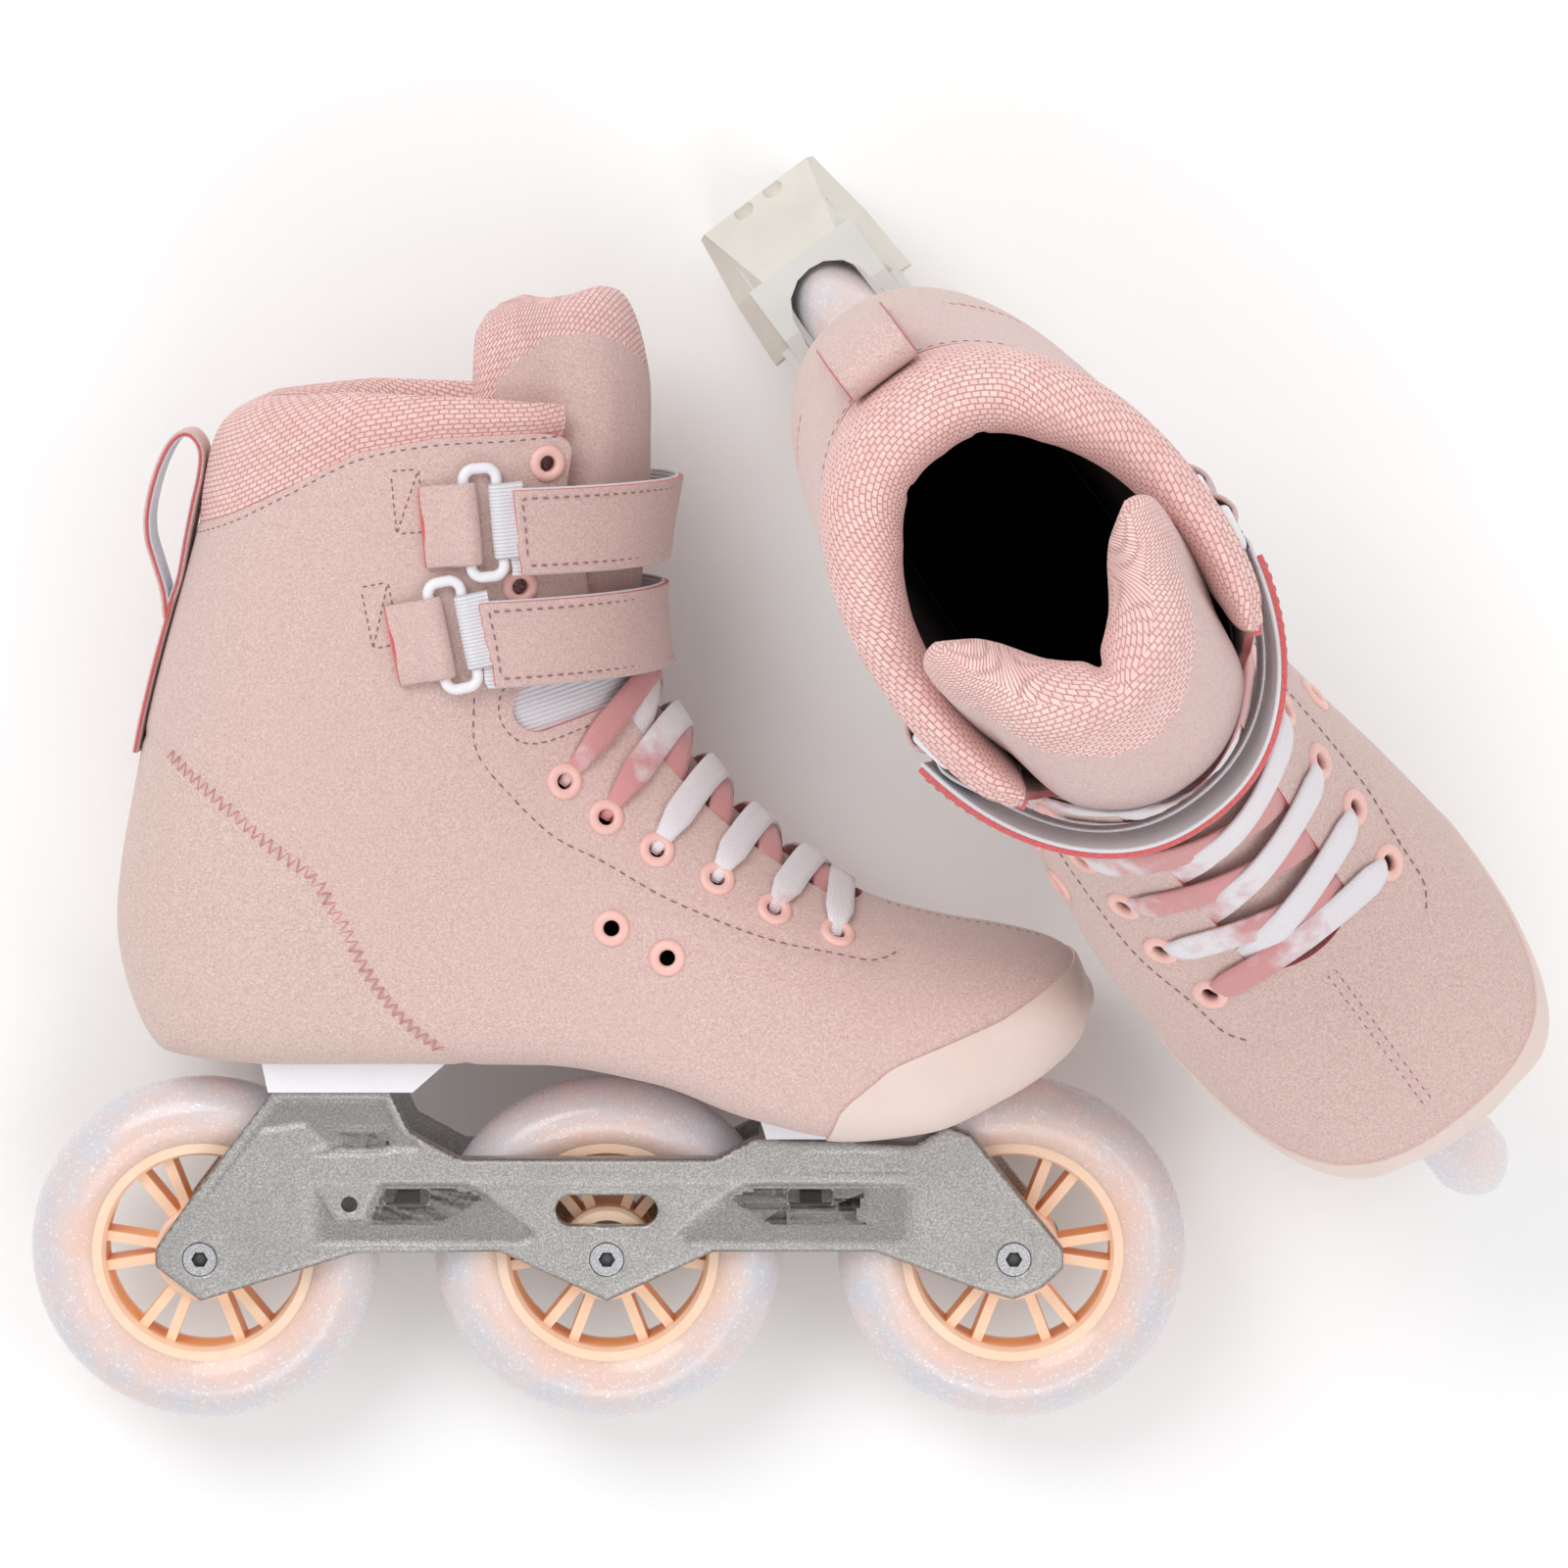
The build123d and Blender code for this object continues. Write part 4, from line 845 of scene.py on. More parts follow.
def make_collar():
    """Thick knitted roll round the cuff, from the suede's edge over the rim and down inside."""
    start = 0.30 * math.pi
    angles = np.linspace(start, 2 * math.pi - start, COLLAR_RINGS)
    low, top = line(COLLAR_LINE), line(COLLAR_TOP)
    rings, n = [], COLLAR_POINTS
    from_front = np.degrees(np.minimum(angles, 2 * math.pi - angles))
    ends = np.minimum(np.arange(COLLAR_RINGS), np.arange(COLLAR_RINGS - 1, -1, -1))
    taper = np.clip((ends + 1.5) / 7, 0, 1) ** 0.5
    for inward, share, extra in COLLAR_PROFILE:
        goal = lambda x, share=share, extra=extra: low(x) + (top(x) - low(x)) * share + extra
        thick = np.interp(from_front, [54, 80, 104, 130, 180], [0.5, 0.68, 0.88, 1.15, 1.35])
        depth = inward * thick if inward > 3.5 else np.full(COLLAR_RINGS, inward)
        depth = 4.0 + (depth - 4.0) * taper
        s = level(angles, goal, depth)
        rings.append(skin(s, angles, depth))
    rings = np.array(rings)
    fine = np.array([catmull(rings[:, k], n) for k in range(rings.shape[1])])
    weave = np.zeros((COLLAR_RINGS, n, 2))
    around = travelled(fine[:, 20])
    for k in range(COLLAR_RINGS):
        weave[k, :, 0] = around[k]
        weave[k, :, 1] = travelled(fine[k])
    crease = sum(np.exp(-((angles - math.pi * place) / 0.05) ** 2) for place in (1.12, 0.86))
    middle = fine.mean(axis=(0, 1))
    for k in range(COLLAR_RINGS):
        pull = np.zeros((n, 3))
        pull[30:] = unit(fine[k, 30:] - middle) * 1.6 * crease[k]
        pull[:, 2] = 0
        fine[k] += pull
    shape = grid(fine, weave=weave)
    shape.faces += [tuple(range(n)), tuple((COLLAR_RINGS - 1) * n + k for k in range(n - 1, -1, -1))]
    shape.marks += [0, 0]
    put("collar", shape, ["knit"], replaces=["liner"])


# ---------------------------------------------------------------- tongue
def edge_angle(s, reach_y, reach_x):
    """Angle at which the section at s is reach_y wide, or reaches back to reach_x."""
    a = np.linspace(0.02, 2.4, 400)
    p = skin(np.full(400, s), a, 6.0)
    if reach_y is not None:
        k = int(np.argmax(p[:, 1] > reach_y)) or 399
    else:
        k = int(np.argmax(p[:, 0] < reach_x)) or 399
    return a[k]


TONGUE_TOP = [(-60, 340), (-44, 343), (-36, 351.5), (-24, 354.5), (-12, 353.5), (-2, 355), (8, 358),
              (17, 356), (60, 350)]
TONGUE_SEAM = [(0.0, 333), (0.1, 335), (0.3, 342), (0.5, 346), (0.68, 345), (0.84, 336), (0.9, 331)]


def make_tongue():
    """Padded tongue: suede face, knitted rim and a back folded to a crease; leans back on the right."""
    columns, rows = 90, 120
    t = np.linspace(-1, 1, columns)
    t = np.sign(t) * (1 - (1 - np.abs(t)) ** 1.35)
    top = line(TONGUE_TOP)
    s0 = AT[5] - 2
    probe = np.linspace(s0, AT[15], 40)
    wide = []
    for s in probe:
        z = skin(np.array(s), np.array(0.0))[2]
        narrow = edge_angle(s, 27.0, None)
        wrap = edge_angle(s, None, -42.0) if z > 225 else narrow
        wide.append(narrow + (wrap - narrow) * ease((z - 236) / 34))
    wide = np.array(wide)
    s_top = np.zeros(columns)
    for k in range(columns):
        guess = t[k] * wide[-1]
        for _ in range(3):
            s_top[k] = level(np.array(guess), top, 6.0)
            guess = t[k] * np.interp(s_top[k], probe, wide)
    v = 1 - (1 - np.linspace(0, 1, rows)) ** 1.4
    s = s0 + (s_top[None, :] - s0) * v[:, None]
    a = t[None, :] * np.interp(s, probe, wide)
    rounding = (1 - np.abs(t) ** 26)[None, :] ** 0.5 * (1 - v**18)[:, None] ** 0.5
    height = skin(s, a, 6.0)[..., 2]
    wing = ease((np.degrees(np.abs(a)) - 34) / 24)
    face_off = np.interp(height, [170, 226, 250, 312, 330], [3.4, 3.2, 2.6, 2.2, 0.8])
    face_off = face_off + (np.interp(height, [240, 300, 322, 345], [8.6, 8.8, 8.2, 5.2]) - face_off) * wing
    slim = np.interp(height, [150, 200, 240, 300], [6.0, 7.0, 14.0, 20.0])
    outer = skin(s, a, face_off)
    inner = skin(s, a, face_off + slim)
    fold = np.broadcast_to(t[None, :], s.shape)
    crease = 3.6 * np.exp(-(fold / 0.07) ** 2)
    valley = np.sqrt((fold * 18) ** 2 + 6) - 2.4
    deep = np.stack([-14.5 - valley * 1.25 + crease, fold * 18, outer[..., 2]], -1)
    inner = inner + (deep - inner) * ease((height - 228) / 60)[..., None]
    middle = (outer + inner) / 2
    outer = middle + (outer - middle) * rounding[..., None]
    inner = middle + (inner - middle) * rounding[..., None]
    weaves = []
    for sheet in (outer, inner):
        run = np.stack([travelled(row) - travelled(row)[columns // 2] for row in sheet])
        up = np.stack([travelled(sheet[:, c]) for c in range(columns)], 1)
        weaves.append(np.stack([run, up], -1))
    seam = line(TONGUE_SEAM)(np.abs(t))[None, :]
    suede = (outer[..., 2] < seam) & (np.abs(t)[None, :] < 0.9)
    for side, lean in (("left", 0.0), ("right", 21.0)):
        sheets = []
        for sheet in (outer, inner):
            moved = sheet.copy()
            moved[..., 0] -= lean * ease((sheet[..., 2] - 283) / 66)
            sheets.append(moved)
        front = grid(sheets[0], weave=weaves[0], flip=True)
        back = grid(sheets[1], weave=weaves[1])
        for r in range(rows - 1):
            for c in range(columns - 1):
                whole = suede[r, c] and suede[r + 1, c] and suede[r, c + 1]
                front.marks[r * (columns - 1) + c] = 1 if whole else 0
        shape = merged([front, back])
        size = rows * columns
        rim = [[r * columns for r in range(rows)], [r * columns + columns - 1 for r in range(rows)],
               list(range(columns)), list(range(size - columns, size))]
        for edge in rim:
            for i, j in zip(edge, edge[1:]):
                shape.faces.append((i, j, j + size, i + size))
                shape.marks.append(0)
        bm_fix(shape)
        put("tongue_pad", shape, ["knit_pale", "panel"], replaces=["tongue"],
            sides=(side,))


def bm_fix(shape):
    """Points every face of a closed shape outwards."""
    bm = bmesh.new()
    made = [bm.verts.new(co) for co in shape.verts]
    bm.verts.index_update()
    for face, mark in zip(shape.faces, shape.marks):
        try:
            bm.faces.new([made[i] for i in face]).material_index = mark
        except ValueError:
            continue
    bmesh.ops.recalc_face_normals(bm, faces=bm.faces[:])
    shape.faces = [tuple(v.index for v in f.verts) for f in bm.faces]
    shape.marks = [f.material_index for f in bm.faces]
    bm.free()


# ---------------------------------------------------------------- toe cap
def make_toe_cap():
    """Moulded rubber over the toe."""
    shape = boot_shape(300, 190, side=-1.1)
    keep = shape.verts[:, 0] > 55
    shape.faces = [f for f in shape.faces if all(keep[i] for i in f)]
    shape.marks = [0] * len(shape.faces)
    used = sorted({i for f in shape.faces for i in f})
    index = {old: new for new, old in enumerate(used)}
    shape = Shape(shape.verts[used], [tuple(index[i] for i in f) for f in shape.faces],
                  shape.weave[used], shape.shade[used])
    wheel_room(shape.verts)
    edge = np.array(TOE_EDGE)

    def field(q):
        top = q[:, 2] - np.interp(q[:, 0], edge[3:9, 0], edge[3:9, 1])
        rear = np.interp(q[:, 2], edge[0:5, 1], edge[0:5, 0]) - q[:, 0]
        return smooth_max(top * 0.95, rear, 6.0)

    shape = carve(shape, field)
    bm_orient(shape)
    pieces = put("toe_guard", shape, ["rubber"], replaces=["toe_cap"])
    thicken(pieces, 1.6, bevel=0.7)


# ---------------------------------------------------------------- seams
def zigzag(points, normals, width, pitch):
    """A zigzag path either side of a line."""
    at = travelled(points)
    count = int(at[-1] / pitch)
    out, ups = [], []
    for i in range(count * 2):
        d = i * pitch / 2
        p = np.array([np.interp(d, at, points[:, k]) for k in range(3)])
        q = np.array([np.interp(d + 0.5, at, points[:, k]) for k in range(3)])
        k = min(int(np.searchsorted(at, d)), len(normals) - 1)
        across = unit(np.cross(normals[k], q - p))
        out.append(p + across * width * (0.5 if i % 2 else -0.5))
        ups.append(normals[k])
    return np.array(out), np.array(ups)


def bars(points, normals, radius, sink=0.0):
    """One thread from each point to the next."""
    shapes = []
    for i in range(len(points) - 1):
        gap = float(np.linalg.norm(points[i + 1] - points[i]))
        pair = np.array([points[i], points[i + 1]])
        shapes.append(stitches(pair, normals[i:i + 2], gap * 0.96, gap * 0.03, radius, sink))
    return merged([s for s in shapes if len(s.verts)])


def make_seams():
    """Thread rows, the red zigzag and the crossed boxes on the tabs."""
    dark, red, pale = [], [], []
    for side in (MEDIAL, LATERAL):
        points, normals = side_path(EYESTAY_SEAM, side)
        points -= normals * 0.35
        dark.append(stitches(points, normals, 2.2, 1.4, 0.26))
        points, normals = side_path(HEEL_SEAM[1:-1], side)
        points -= normals * 0.45
        across, ups = zigzag(points, normals, 4.6, 3.4)
        red.append(bars(across, ups, 0.24, 0.2))
        for offset in (-2.6, 2.6):
            lifted = points + unit(np.cross(normals, np.gradient(points, axis=0))) * offset
            pale.append(stitches(lifted, normals, 1.5, 1.6, 0.26, 0.3))
        edge = [(x, z - 2.2) for x, z in COLLAR_LINE[1:6]] + [(-28, 313), (-10, 314.5)]
        points, normals = side_path(edge, side)
        dark.append(stitches(points, normals, 1.8, 1.5, 0.22))
        notch = [(12, 231.5), (-6, 224.5), (-19, 220.6), (-26, 222.0), (-30.5, 227.5), (-31, 234),
                 (-28.5, 240)]
        points, normals = side_path(notch, side)
        dark.append(stitches(points, normals, 1.8, 1.2, 0.24))
        for x, z, slant in ((-58, 295, 5), (-66.5, 260.5, 11)):
            c, s = math.cos(math.radians(slant)), math.sin(math.radians(slant))
            box = [(-4.2, -9.5), (-4.2, 9.5), (4.2, 9.5), (4.2, -9.5), (-4.2, -9.5), (4.2, 9.5)]
            for (u, v), (u2, v2) in zip(box, box[1:]):
                ends = [(x + u * c - v * s, z + u * s + v * c), (x + u2 * c - v2 * s, z + u2 * s + v2 * c)]
                flat = even(np.array(ends), 24)
                found = [on_side(px, pz, side) for px, pz in flat]
                spots, outs = (np.array(part) for part in zip(*found))
                dark.append(stitches(spots, unit(outs), 1.5, 1.0, 0.24))
    toe = np.stack([skin(s, 0.0) for s in np.linspace(AT[2] + 4, AT[5] - 3, 60)])
    ups = skin_normals(toe)
    toe -= ups * 0.45
    for offset in (-1.4, 1.4):
        dark.append(stitches(toe + np.array([0, offset, 0.1]), ups, 1.7, 1.5, 0.2))
    put("stitching", merged(dark), ["thread_dark"])
    put("heel_stitching", merged(red), ["thread_red"])
    put("heel_rows", merged(pale), ["thread_pale"])


# ---------------------------------------------------------------- rings, tabs and straps
STRAPS = {
    "upper": {"ring": (-35.0, 288.8), "slant": 5.0, "height": (272.8, 298.4), "rise": 1.0},
    "lower": {"ring": (-44.5, 254.8), "slant": 11.0, "height": (238.6, 264.4), "rise": 2.0},
}
RING_GAP = 5.0


def ring_frame(strap, side):
    """Centre, forward, along-bar and outward directions of a ring."""
    x, z = strap["ring"]
    slant = math.radians(strap["slant"])
    ends = [on_side(x + d, z, side)[0] + np.array([0, side * 3.6, 0]) for d in (-RING_GAP, RING_GAP)]
    ahead = unit(ends[1] - ends[0])
    bar = np.array([-math.sin(slant), 0, math.cos(slant)])
    out = unit(np.cross(ahead, bar))
    if out[1] * side < 0:
        out = -out
    ahead = unit(ahead - bar * np.dot(ahead, bar))
    return (ends[0] + ends[1]) / 2, ahead, bar, out


def folded(strap, side, profile, width, thickness, hug=()):
    """A band folded round a ring's bar: profile points are (forward, outward) from the ring's centre."""
    centre, ahead, bar, out = ring_frame(strap, side)
    points = []
    for k, (u, w) in enumerate(profile):
        p = centre + ahead * u + out * w
        if k in hug:
            hit, normal = on_skin(p)
            p = hit + normal * hug[k]
        points.append(p)
    path = catmull(points, 60)
    ahead_path = unit(np.gradient(path, axis=0))
    across = np.tile(bar, (60, 1))
    up = np.cross(ahead_path, across)
    return ribbon(path, across, up, width, thickness)


def make_tabs():
    """Folded tabs that hold the rings."""
    tabs, edges, tape = [], [], []
    for strap in STRAPS.values():
        for side in (MEDIAL, LATERAL):
            profile = [(-18.6, 0), (-15.5, 0), (-12, 0), (-8.5, 1.2), (-5.0, 2.75), (-2.4, 1.4), (-2.3, -1.2),
                       (-5.0, -2.6), (-8.5, -2.2)]
            tabs.append(folded(strap, side, profile, 25.0, 1.5, {0: 2.0, 1: 2.1, 2: 2.4}))
            edges.append(folded(strap, side, [(-19.0, 0), (-18.0, 0)], 24.6, 2.5, {0: 1.5, 1: 1.5}))
            edges.append(folded(strap, side, [(-18.0, 0), (-15.5, 0), (-12, 0)], 24.0, 1.2,
                                {0: 0.9, 1: 0.9, 2: 1.0}))
            if side == LATERAL:
                loop = [(16, 0), (10, 1.9), (7.5, 2.3), (5.0, 2.35), (2.7, 1.2), (2.7, -1.2), (5.0, -2.3),
                        (8.0, -2.2)]
                tape.append(folded(strap, side, loop, 23.0, 1.1, {0: 4.6}))
    put("ring_tabs_suede", merged(tabs), ["panel"], replaces=["ring_tabs"])
    put("tab_edges", merged(edges), ["cut_edge"])
    put("outer_tape", merged(tape), ["white_tape"])


def strap_sheet(strap, off, low_extra, high_extra, start_gap, end_x, columns=110, rows=13):
    """A sheet of the strap at a distance off the boot: rows across it, columns along it."""
    x0, z0 = strap["ring"]
    rise = math.tan(math.radians(strap["rise"]))
    slant = math.tan(math.radians(strap["slant"]))
    low, high = strap["height"]
    angles = np.linspace(-2.1, 2.1, 420)
    sheet = []
    for v in np.linspace(0, 1, rows):
        base = low - low_extra + (high + high_extra - low + low_extra) * v
        goal = lambda x, base=base: base + (x + 40) * rise
        s = level(angles, goal, -off, -off - 1.95, low=AT[7])
        path = skin(s, angles, -off, -off - 1.95) + np.array([0, 1.25, 0])
        start_x = x0 + RING_GAP + start_gap - (path[:, 2] - z0) * slant
        last = end_x - (path[:, 2] - z0) * 0.09
        front = (path[:, 0] > np.where(angles < 0, start_x, last))
        k = np.flatnonzero(front)
        sheet.append(even(path[k[0]:k[-1] + 1], columns))
    return np.array(sheet)


def make_straps():
    """Woven tape, suede face, thread and fold of each strap."""
    for name, strap in STRAPS.items():
        tape = strap_sheet(strap, 5.35, 0.5, 0.5, 1.5, -35.0)
        run = np.stack([travelled(row) for row in tape])
        across = np.linspace(0, 24, 13)[:, None] + 0 * run
        back = grid(tape, weave=np.stack([run, across], -1))
        bm_orient(back)
        pieces = put(f"strap_{name}_tape", back, ["white_tape", "hook"], f"{name}_strap")
        thicken(pieces, 1.1, offset=1.0)
        face = strap_sheet(strap, 6.55, 0.0, 0.0, 4.2, -33.5)
        shape = grid(face)
        bm_orient(shape)
        pieces = put(f"strap_{name}_suede", shape, ["panel", "cut_edge"], f"{name}_strap",
                     replaces=[f"strap_{name}"])
        thicken(pieces, 1.7, rim=1, offset=1.0, bevel=0.3)
        inset = strap_sheet(strap, 8.55, -2.6, -2.6, 7.0, -31.0, columns=220, rows=3)
        loop = np.concatenate([inset[0], even(inset[:, -1], 12)[1:-1], inset[2][::-1],
                               even(inset[::-1, 0], 12)[1:]])
        ups = unit(skin_normals(loop))
        thread = stitches(loop, ups, 1.9, 1.5, 0.24, 0.05)
        put(f"strap_{name}_thread", thread, ["thread_dark"], f"{name}_strap")
        fold = [(12.5, 1.75), (9, 1.9), (5.0, 2.35), (2.9, 1.2), (3.0, -0.7), (4.2, -1.5), (5.4, -1.3)]
        band = folded(strap, MEDIAL, fold, 23.0, 1.1)
        put(f"strap_{name}_fold", band, ["white_tape"], f"{name}_strap")


def bm_orient(shape):
    """Turns a sheet so that its faces look away from the boot."""
    face = shape.faces[len(shape.faces) // 2]
    a, b, c = (shape.verts[i] for i in face[:3])
    _, away = on_skin((a + b + c) / 3)
    if np.dot(np.cross(b - a, c - a), away) < 0:
        shape.faces = [f[::-1] for f in shape.faces]


RING_TUBE_R = 1.7


def ring_tube(strap, side):
    """Moulded ring with rounded corners."""
    centre, ahead, bar, out = ring_frame(strap, side)
    wide, tall, corner = RING_GAP, 16.4, 3.4
    path = []
    for cx, cy, first in ((1, 1, 0), (-1, 1, 90), (-1, -1, 180), (1, -1, 270)):
        for k in range(9):
            angle = math.radians(first + k * 11.25)
            path.append((cx * (wide - corner) + corner * math.cos(angle),
                         cy * (tall - corner) + corner * math.sin(angle)))
    flat = np.array(path)
    ways = unit(np.roll(flat, -1, 0) - np.roll(flat, 1, 0))
    rows = []
    for (u, v), (du, dv) in zip(flat, ways):
        spot, side_way = centre + ahead * u + bar * v, ahead * dv - bar * du
        rows.append([spot + (side_way * math.cos(t) + out * math.sin(t)) * RING_TUBE_R
                     for t in np.linspace(0, 2 * math.pi, 14)[:-1]])
    return grid(np.array(rows), round_rows=True, round_columns=True)


def make_rings():
    """The two swinging rings, and the two on the outer side that stay put."""
    for name, strap in STRAPS.items():
        shape = ring_tube(strap, MEDIAL)
        bm_fix(shape)
        put(f"ring_{name}_moulding", shape, ["white_plastic"], f"{name}_ring",
            replaces=[f"ring_{name}"])
    shape = merged([ring_tube(strap, LATERAL) for strap in STRAPS.values()])
    bm_fix(shape)
    put("outer_rings_moulding", shape, ["white_plastic"], replaces=["lateral_rings"])


# Radius and height above the suede round an eyelet's cross-section.
EYELET_PROFILE = [(2.5, -3.2), (2.45, 0.4), (2.9, 1.05), (4.0, 1.3), (5.0, 1.0), (5.6, 0.4), (5.65, -0.4),
                  (3.2, -0.9), (3.1, -3.2)]


def make_eyelets():
    """Moulded eyelets round every lace hole."""
    shapes = []
    for spot, normal in SPOTS:
        side_way = unit(np.cross(normal, [0.0, 0.0, 1.0]))
        up = np.cross(side_way, normal)
        rows = []
        for t in np.linspace(0, 2 * math.pi, 33)[:-1]:
            spoke = side_way * math.cos(t) + up * math.sin(t)
            rows.append([spot + spoke * r + normal * h for r, h in EYELET_PROFILE])
        shapes.append(grid(np.array(rows), round_rows=True, round_columns=True))
    shape = merged(shapes)
    bm_fix(shape)
    put("eyelet_rings", shape, ["eyelet"], replaces=["eyelets"])


# ---------------------------------------------------------------- cast relief of the frame
FRAME_EDGE = [(-103.5, 109), (-67.5, 109), (-61.5, 95.5), (-46, 87), (34, 87), (46.5, 93.6), (96, 91.5),
              (106, 97.5), (114, 94.5), (143, 58), (143, 52), (137, 46), (127.5, 42), (117, 45), (84, 57.3),
              (33.5, 57.3), (0, 41.5), (-33.5, 57.3), (-78.5, 57), (-127.5, 41.5), (-141.5, 52.5),
              (-141.5, 58), (-131, 73)]
# Outline, depth and width of the slope round each hollow.
POCKETS = [
    ([(-138, 60), (-104, 107), (-69, 107), (-64, 97), (-50, 89), (-86, 89), (-94, 97), (-107, 95),
      (-122, 76)], 1.1, 2.0),
    ([(-91, 97.5), (-69, 97), (-66, 92), (-67, 87.5), (-93, 87), (-95, 89.5), (-84, 93)], 1.25, 3.0),
    ([(-74, 79.5), (-49, 79.5), (-33, 75), (-51, 64.5), (-85, 63.8), (-77, 70)], 1.35, 3.4),
    ([(48, 79.5), (84, 79.5), (80, 69), (92, 63.5), (50, 64.5), (34, 75)], 1.35, 3.4),
    ([(59.5, 83), (62.5, 89), (91.5, 89), (94, 83)], 0.75, 0.8),
]


def inside_depth(p, q, edge):
    """Distance inside a polygon, negative outside."""
    edge = np.array(edge, float)
    best = np.full(len(p), 1e9)
    odd = np.zeros(len(p), bool)
    for (ax, az), (bx, bz) in zip(edge, np.roll(edge, -1, 0)):
        t = np.clip(((p - ax) * (bx - ax) + (q - az) * (bz - az)) / ((bx - ax) ** 2 + (bz - az) ** 2), 0, 1)
        best = np.minimum(best, np.hypot(p - ax - t * (bx - ax), q - az - t * (bz - az)))
        if az != bz:
            odd ^= ((az > q) != (bz > q)) & (p < (bx - ax) * (q - az) / (bz - az) + ax)
    return np.where(odd, best, -best)


def make_relief():
    """Cast faces of the frame: ribs, hollows and bosses on both sides, with painted shade in the hollows."""
    xs, zs = np.arange(-142.6, 144.1, 1.15), np.arange(40.6, 110.2, 1.05)
    x, z = (v.ravel() for v in np.meshgrid(xs, zs, indexing="ij"))
    height = np.full(len(x), 1.6)
    for edge, depth, slope in POCKETS:
        height -= depth * ease(inside_depth(x, z, edge) / slope)
    star = inside_depth(x, z, [(-46, 80), (-24, 63), (-30, 57), (0, 40), (30, 57), (24, 63), (46, 80)])
    low_rim = ease((60.8 - z) / 1.4)
    web = 1.15 * ease((79.8 - z) / 1.6) * ease((x + 96) / 8) * ease((98 - x) / 8)
    height -= web * (1 - ease(star / 2.5)) * (1 - low_rim)
    tab = inside_depth(x, z, [(-93, 80), (-70.5, 80), (-76, 67.5), (-85, 67.5)])
    height = np.maximum(height, 1.35 * ease((tab + 1.2) / 2.0))
    slot = 5.2 - np.hypot(np.maximum(np.abs(x) - 11.0, 0), z - 70.5)
    height -= 0.5 * ease((slot + 3.0) / 3.0)
    for axle in AXLES.values():
        height = np.maximum(height, 1.8 * ease((13.5 - np.hypot(x - axle, z - AXLE_Z)) / 5.0))
    rail = ease((z - 79.6) / 1.5) * ease((x + 60) / 2) * ease((108 - x) / 4)
    height = np.maximum(height, 1.62 * rail - 0.9 * ease(inside_depth(x, z, POCKETS[4][0]) / 0.8))
    rim = np.clip(inside_depth(x, z, FRAME_EDGE) / 1.5, 0, 1)
    height = 0.1 + (height - 0.1) * np.sqrt(np.clip(1 - (1 - rim) ** 2, 0, 1))
    points = np.stack([x, -(17.0 + height), z], -1).reshape(len(xs), len(zs), 3)

    def field(q):
        gx, gz = q[:, 0], q[:, 2]
        cut = -inside_depth(gx, gz, FRAME_EDGE)
        for centre in (-62.5, 63.8):
            cut = np.maximum(cut, np.minimum(7.0 - np.abs(gx - centre), 2.5 - np.abs(gz - 74.6)))
        cut = np.maximum(cut, 5.0 - np.hypot(np.maximum(np.abs(gx) - 11.0, 0), gz - 70.5))
        for axle in AXLES.values():
            cut = np.maximum(cut, 5.5 - np.hypot(gx - axle, gz - AXLE_Z))
        return np.maximum(cut, 2.6 - np.hypot(gx + 80.5, gz - 72.5))

    # Painted shade: the shade attribute grows with each hollow's depth, and the cast look darkens the colour
    # there.
    plate = carve(grid(points, shade=0.42 * ease((1.5 - height) / 1.3)), field)
    a, b, c = (plate.verts[i] for i in plate.faces[0][:3])
    if np.cross(b - a, c - a)[1] > 0:
        plate.faces = [f[::-1] for f in plate.faces]
    other = Shape(plate.verts * np.array([1, -1, 1]), [f[::-1] for f in plate.faces], shade=plate.shade)
    pieces = put("frame_relief", merged([plate, other]), ["cast"])
    for piece in pieces:
        solid = piece.modifiers.new("thickness", "SOLIDIFY")
        solid.thickness = 0.9 * MM
        solid.offset = -1


SOCKET_R = 2.75


def make_socket_shade():
    """Painted shade: dark plugs at the bottoms of the hexagon sockets in the axle heads, standing in for the
    shade inside them.
    """
    shapes = []
    for x in AXLES.values():
        for side in (MEDIAL, LATERAL):
            rows = []
            for depth in (17.4, 17.7):
                rows.append([(x + SOCKET_R * math.cos(k * math.pi / 3), side * depth,
                              AXLE_Z + SOCKET_R * math.sin(k * math.pi / 3)) for k in range(6)])
            plug = grid(np.array(rows), round_columns=True)
            plug.faces += [tuple(range(6)), tuple(range(11, 5, -1))]
            plug.marks += [0, 0]
            shapes.append(plug)
    shape = merged(shapes)
    bm_fix(shape)
    put("axle_socket_shade", shape, ["seal_and_socket_shade"])


# ---------------------------------------------------------------- laces, elastic, loop
def spot_place(x, z, side):
    """The s and angle of a spot on the boot's side."""
    target, _ = on_side(x, z, side)
    s, a = np.meshgrid(np.linspace(AT[3], AT[14], 260), np.linspace(0.05, 2.0, 200) * side, indexing="ij")
    away = np.linalg.norm(skin(s, a) - target, axis=-1)
    k = np.unravel_index(np.argmin(away), away.shape)
    return s[k], a[k]


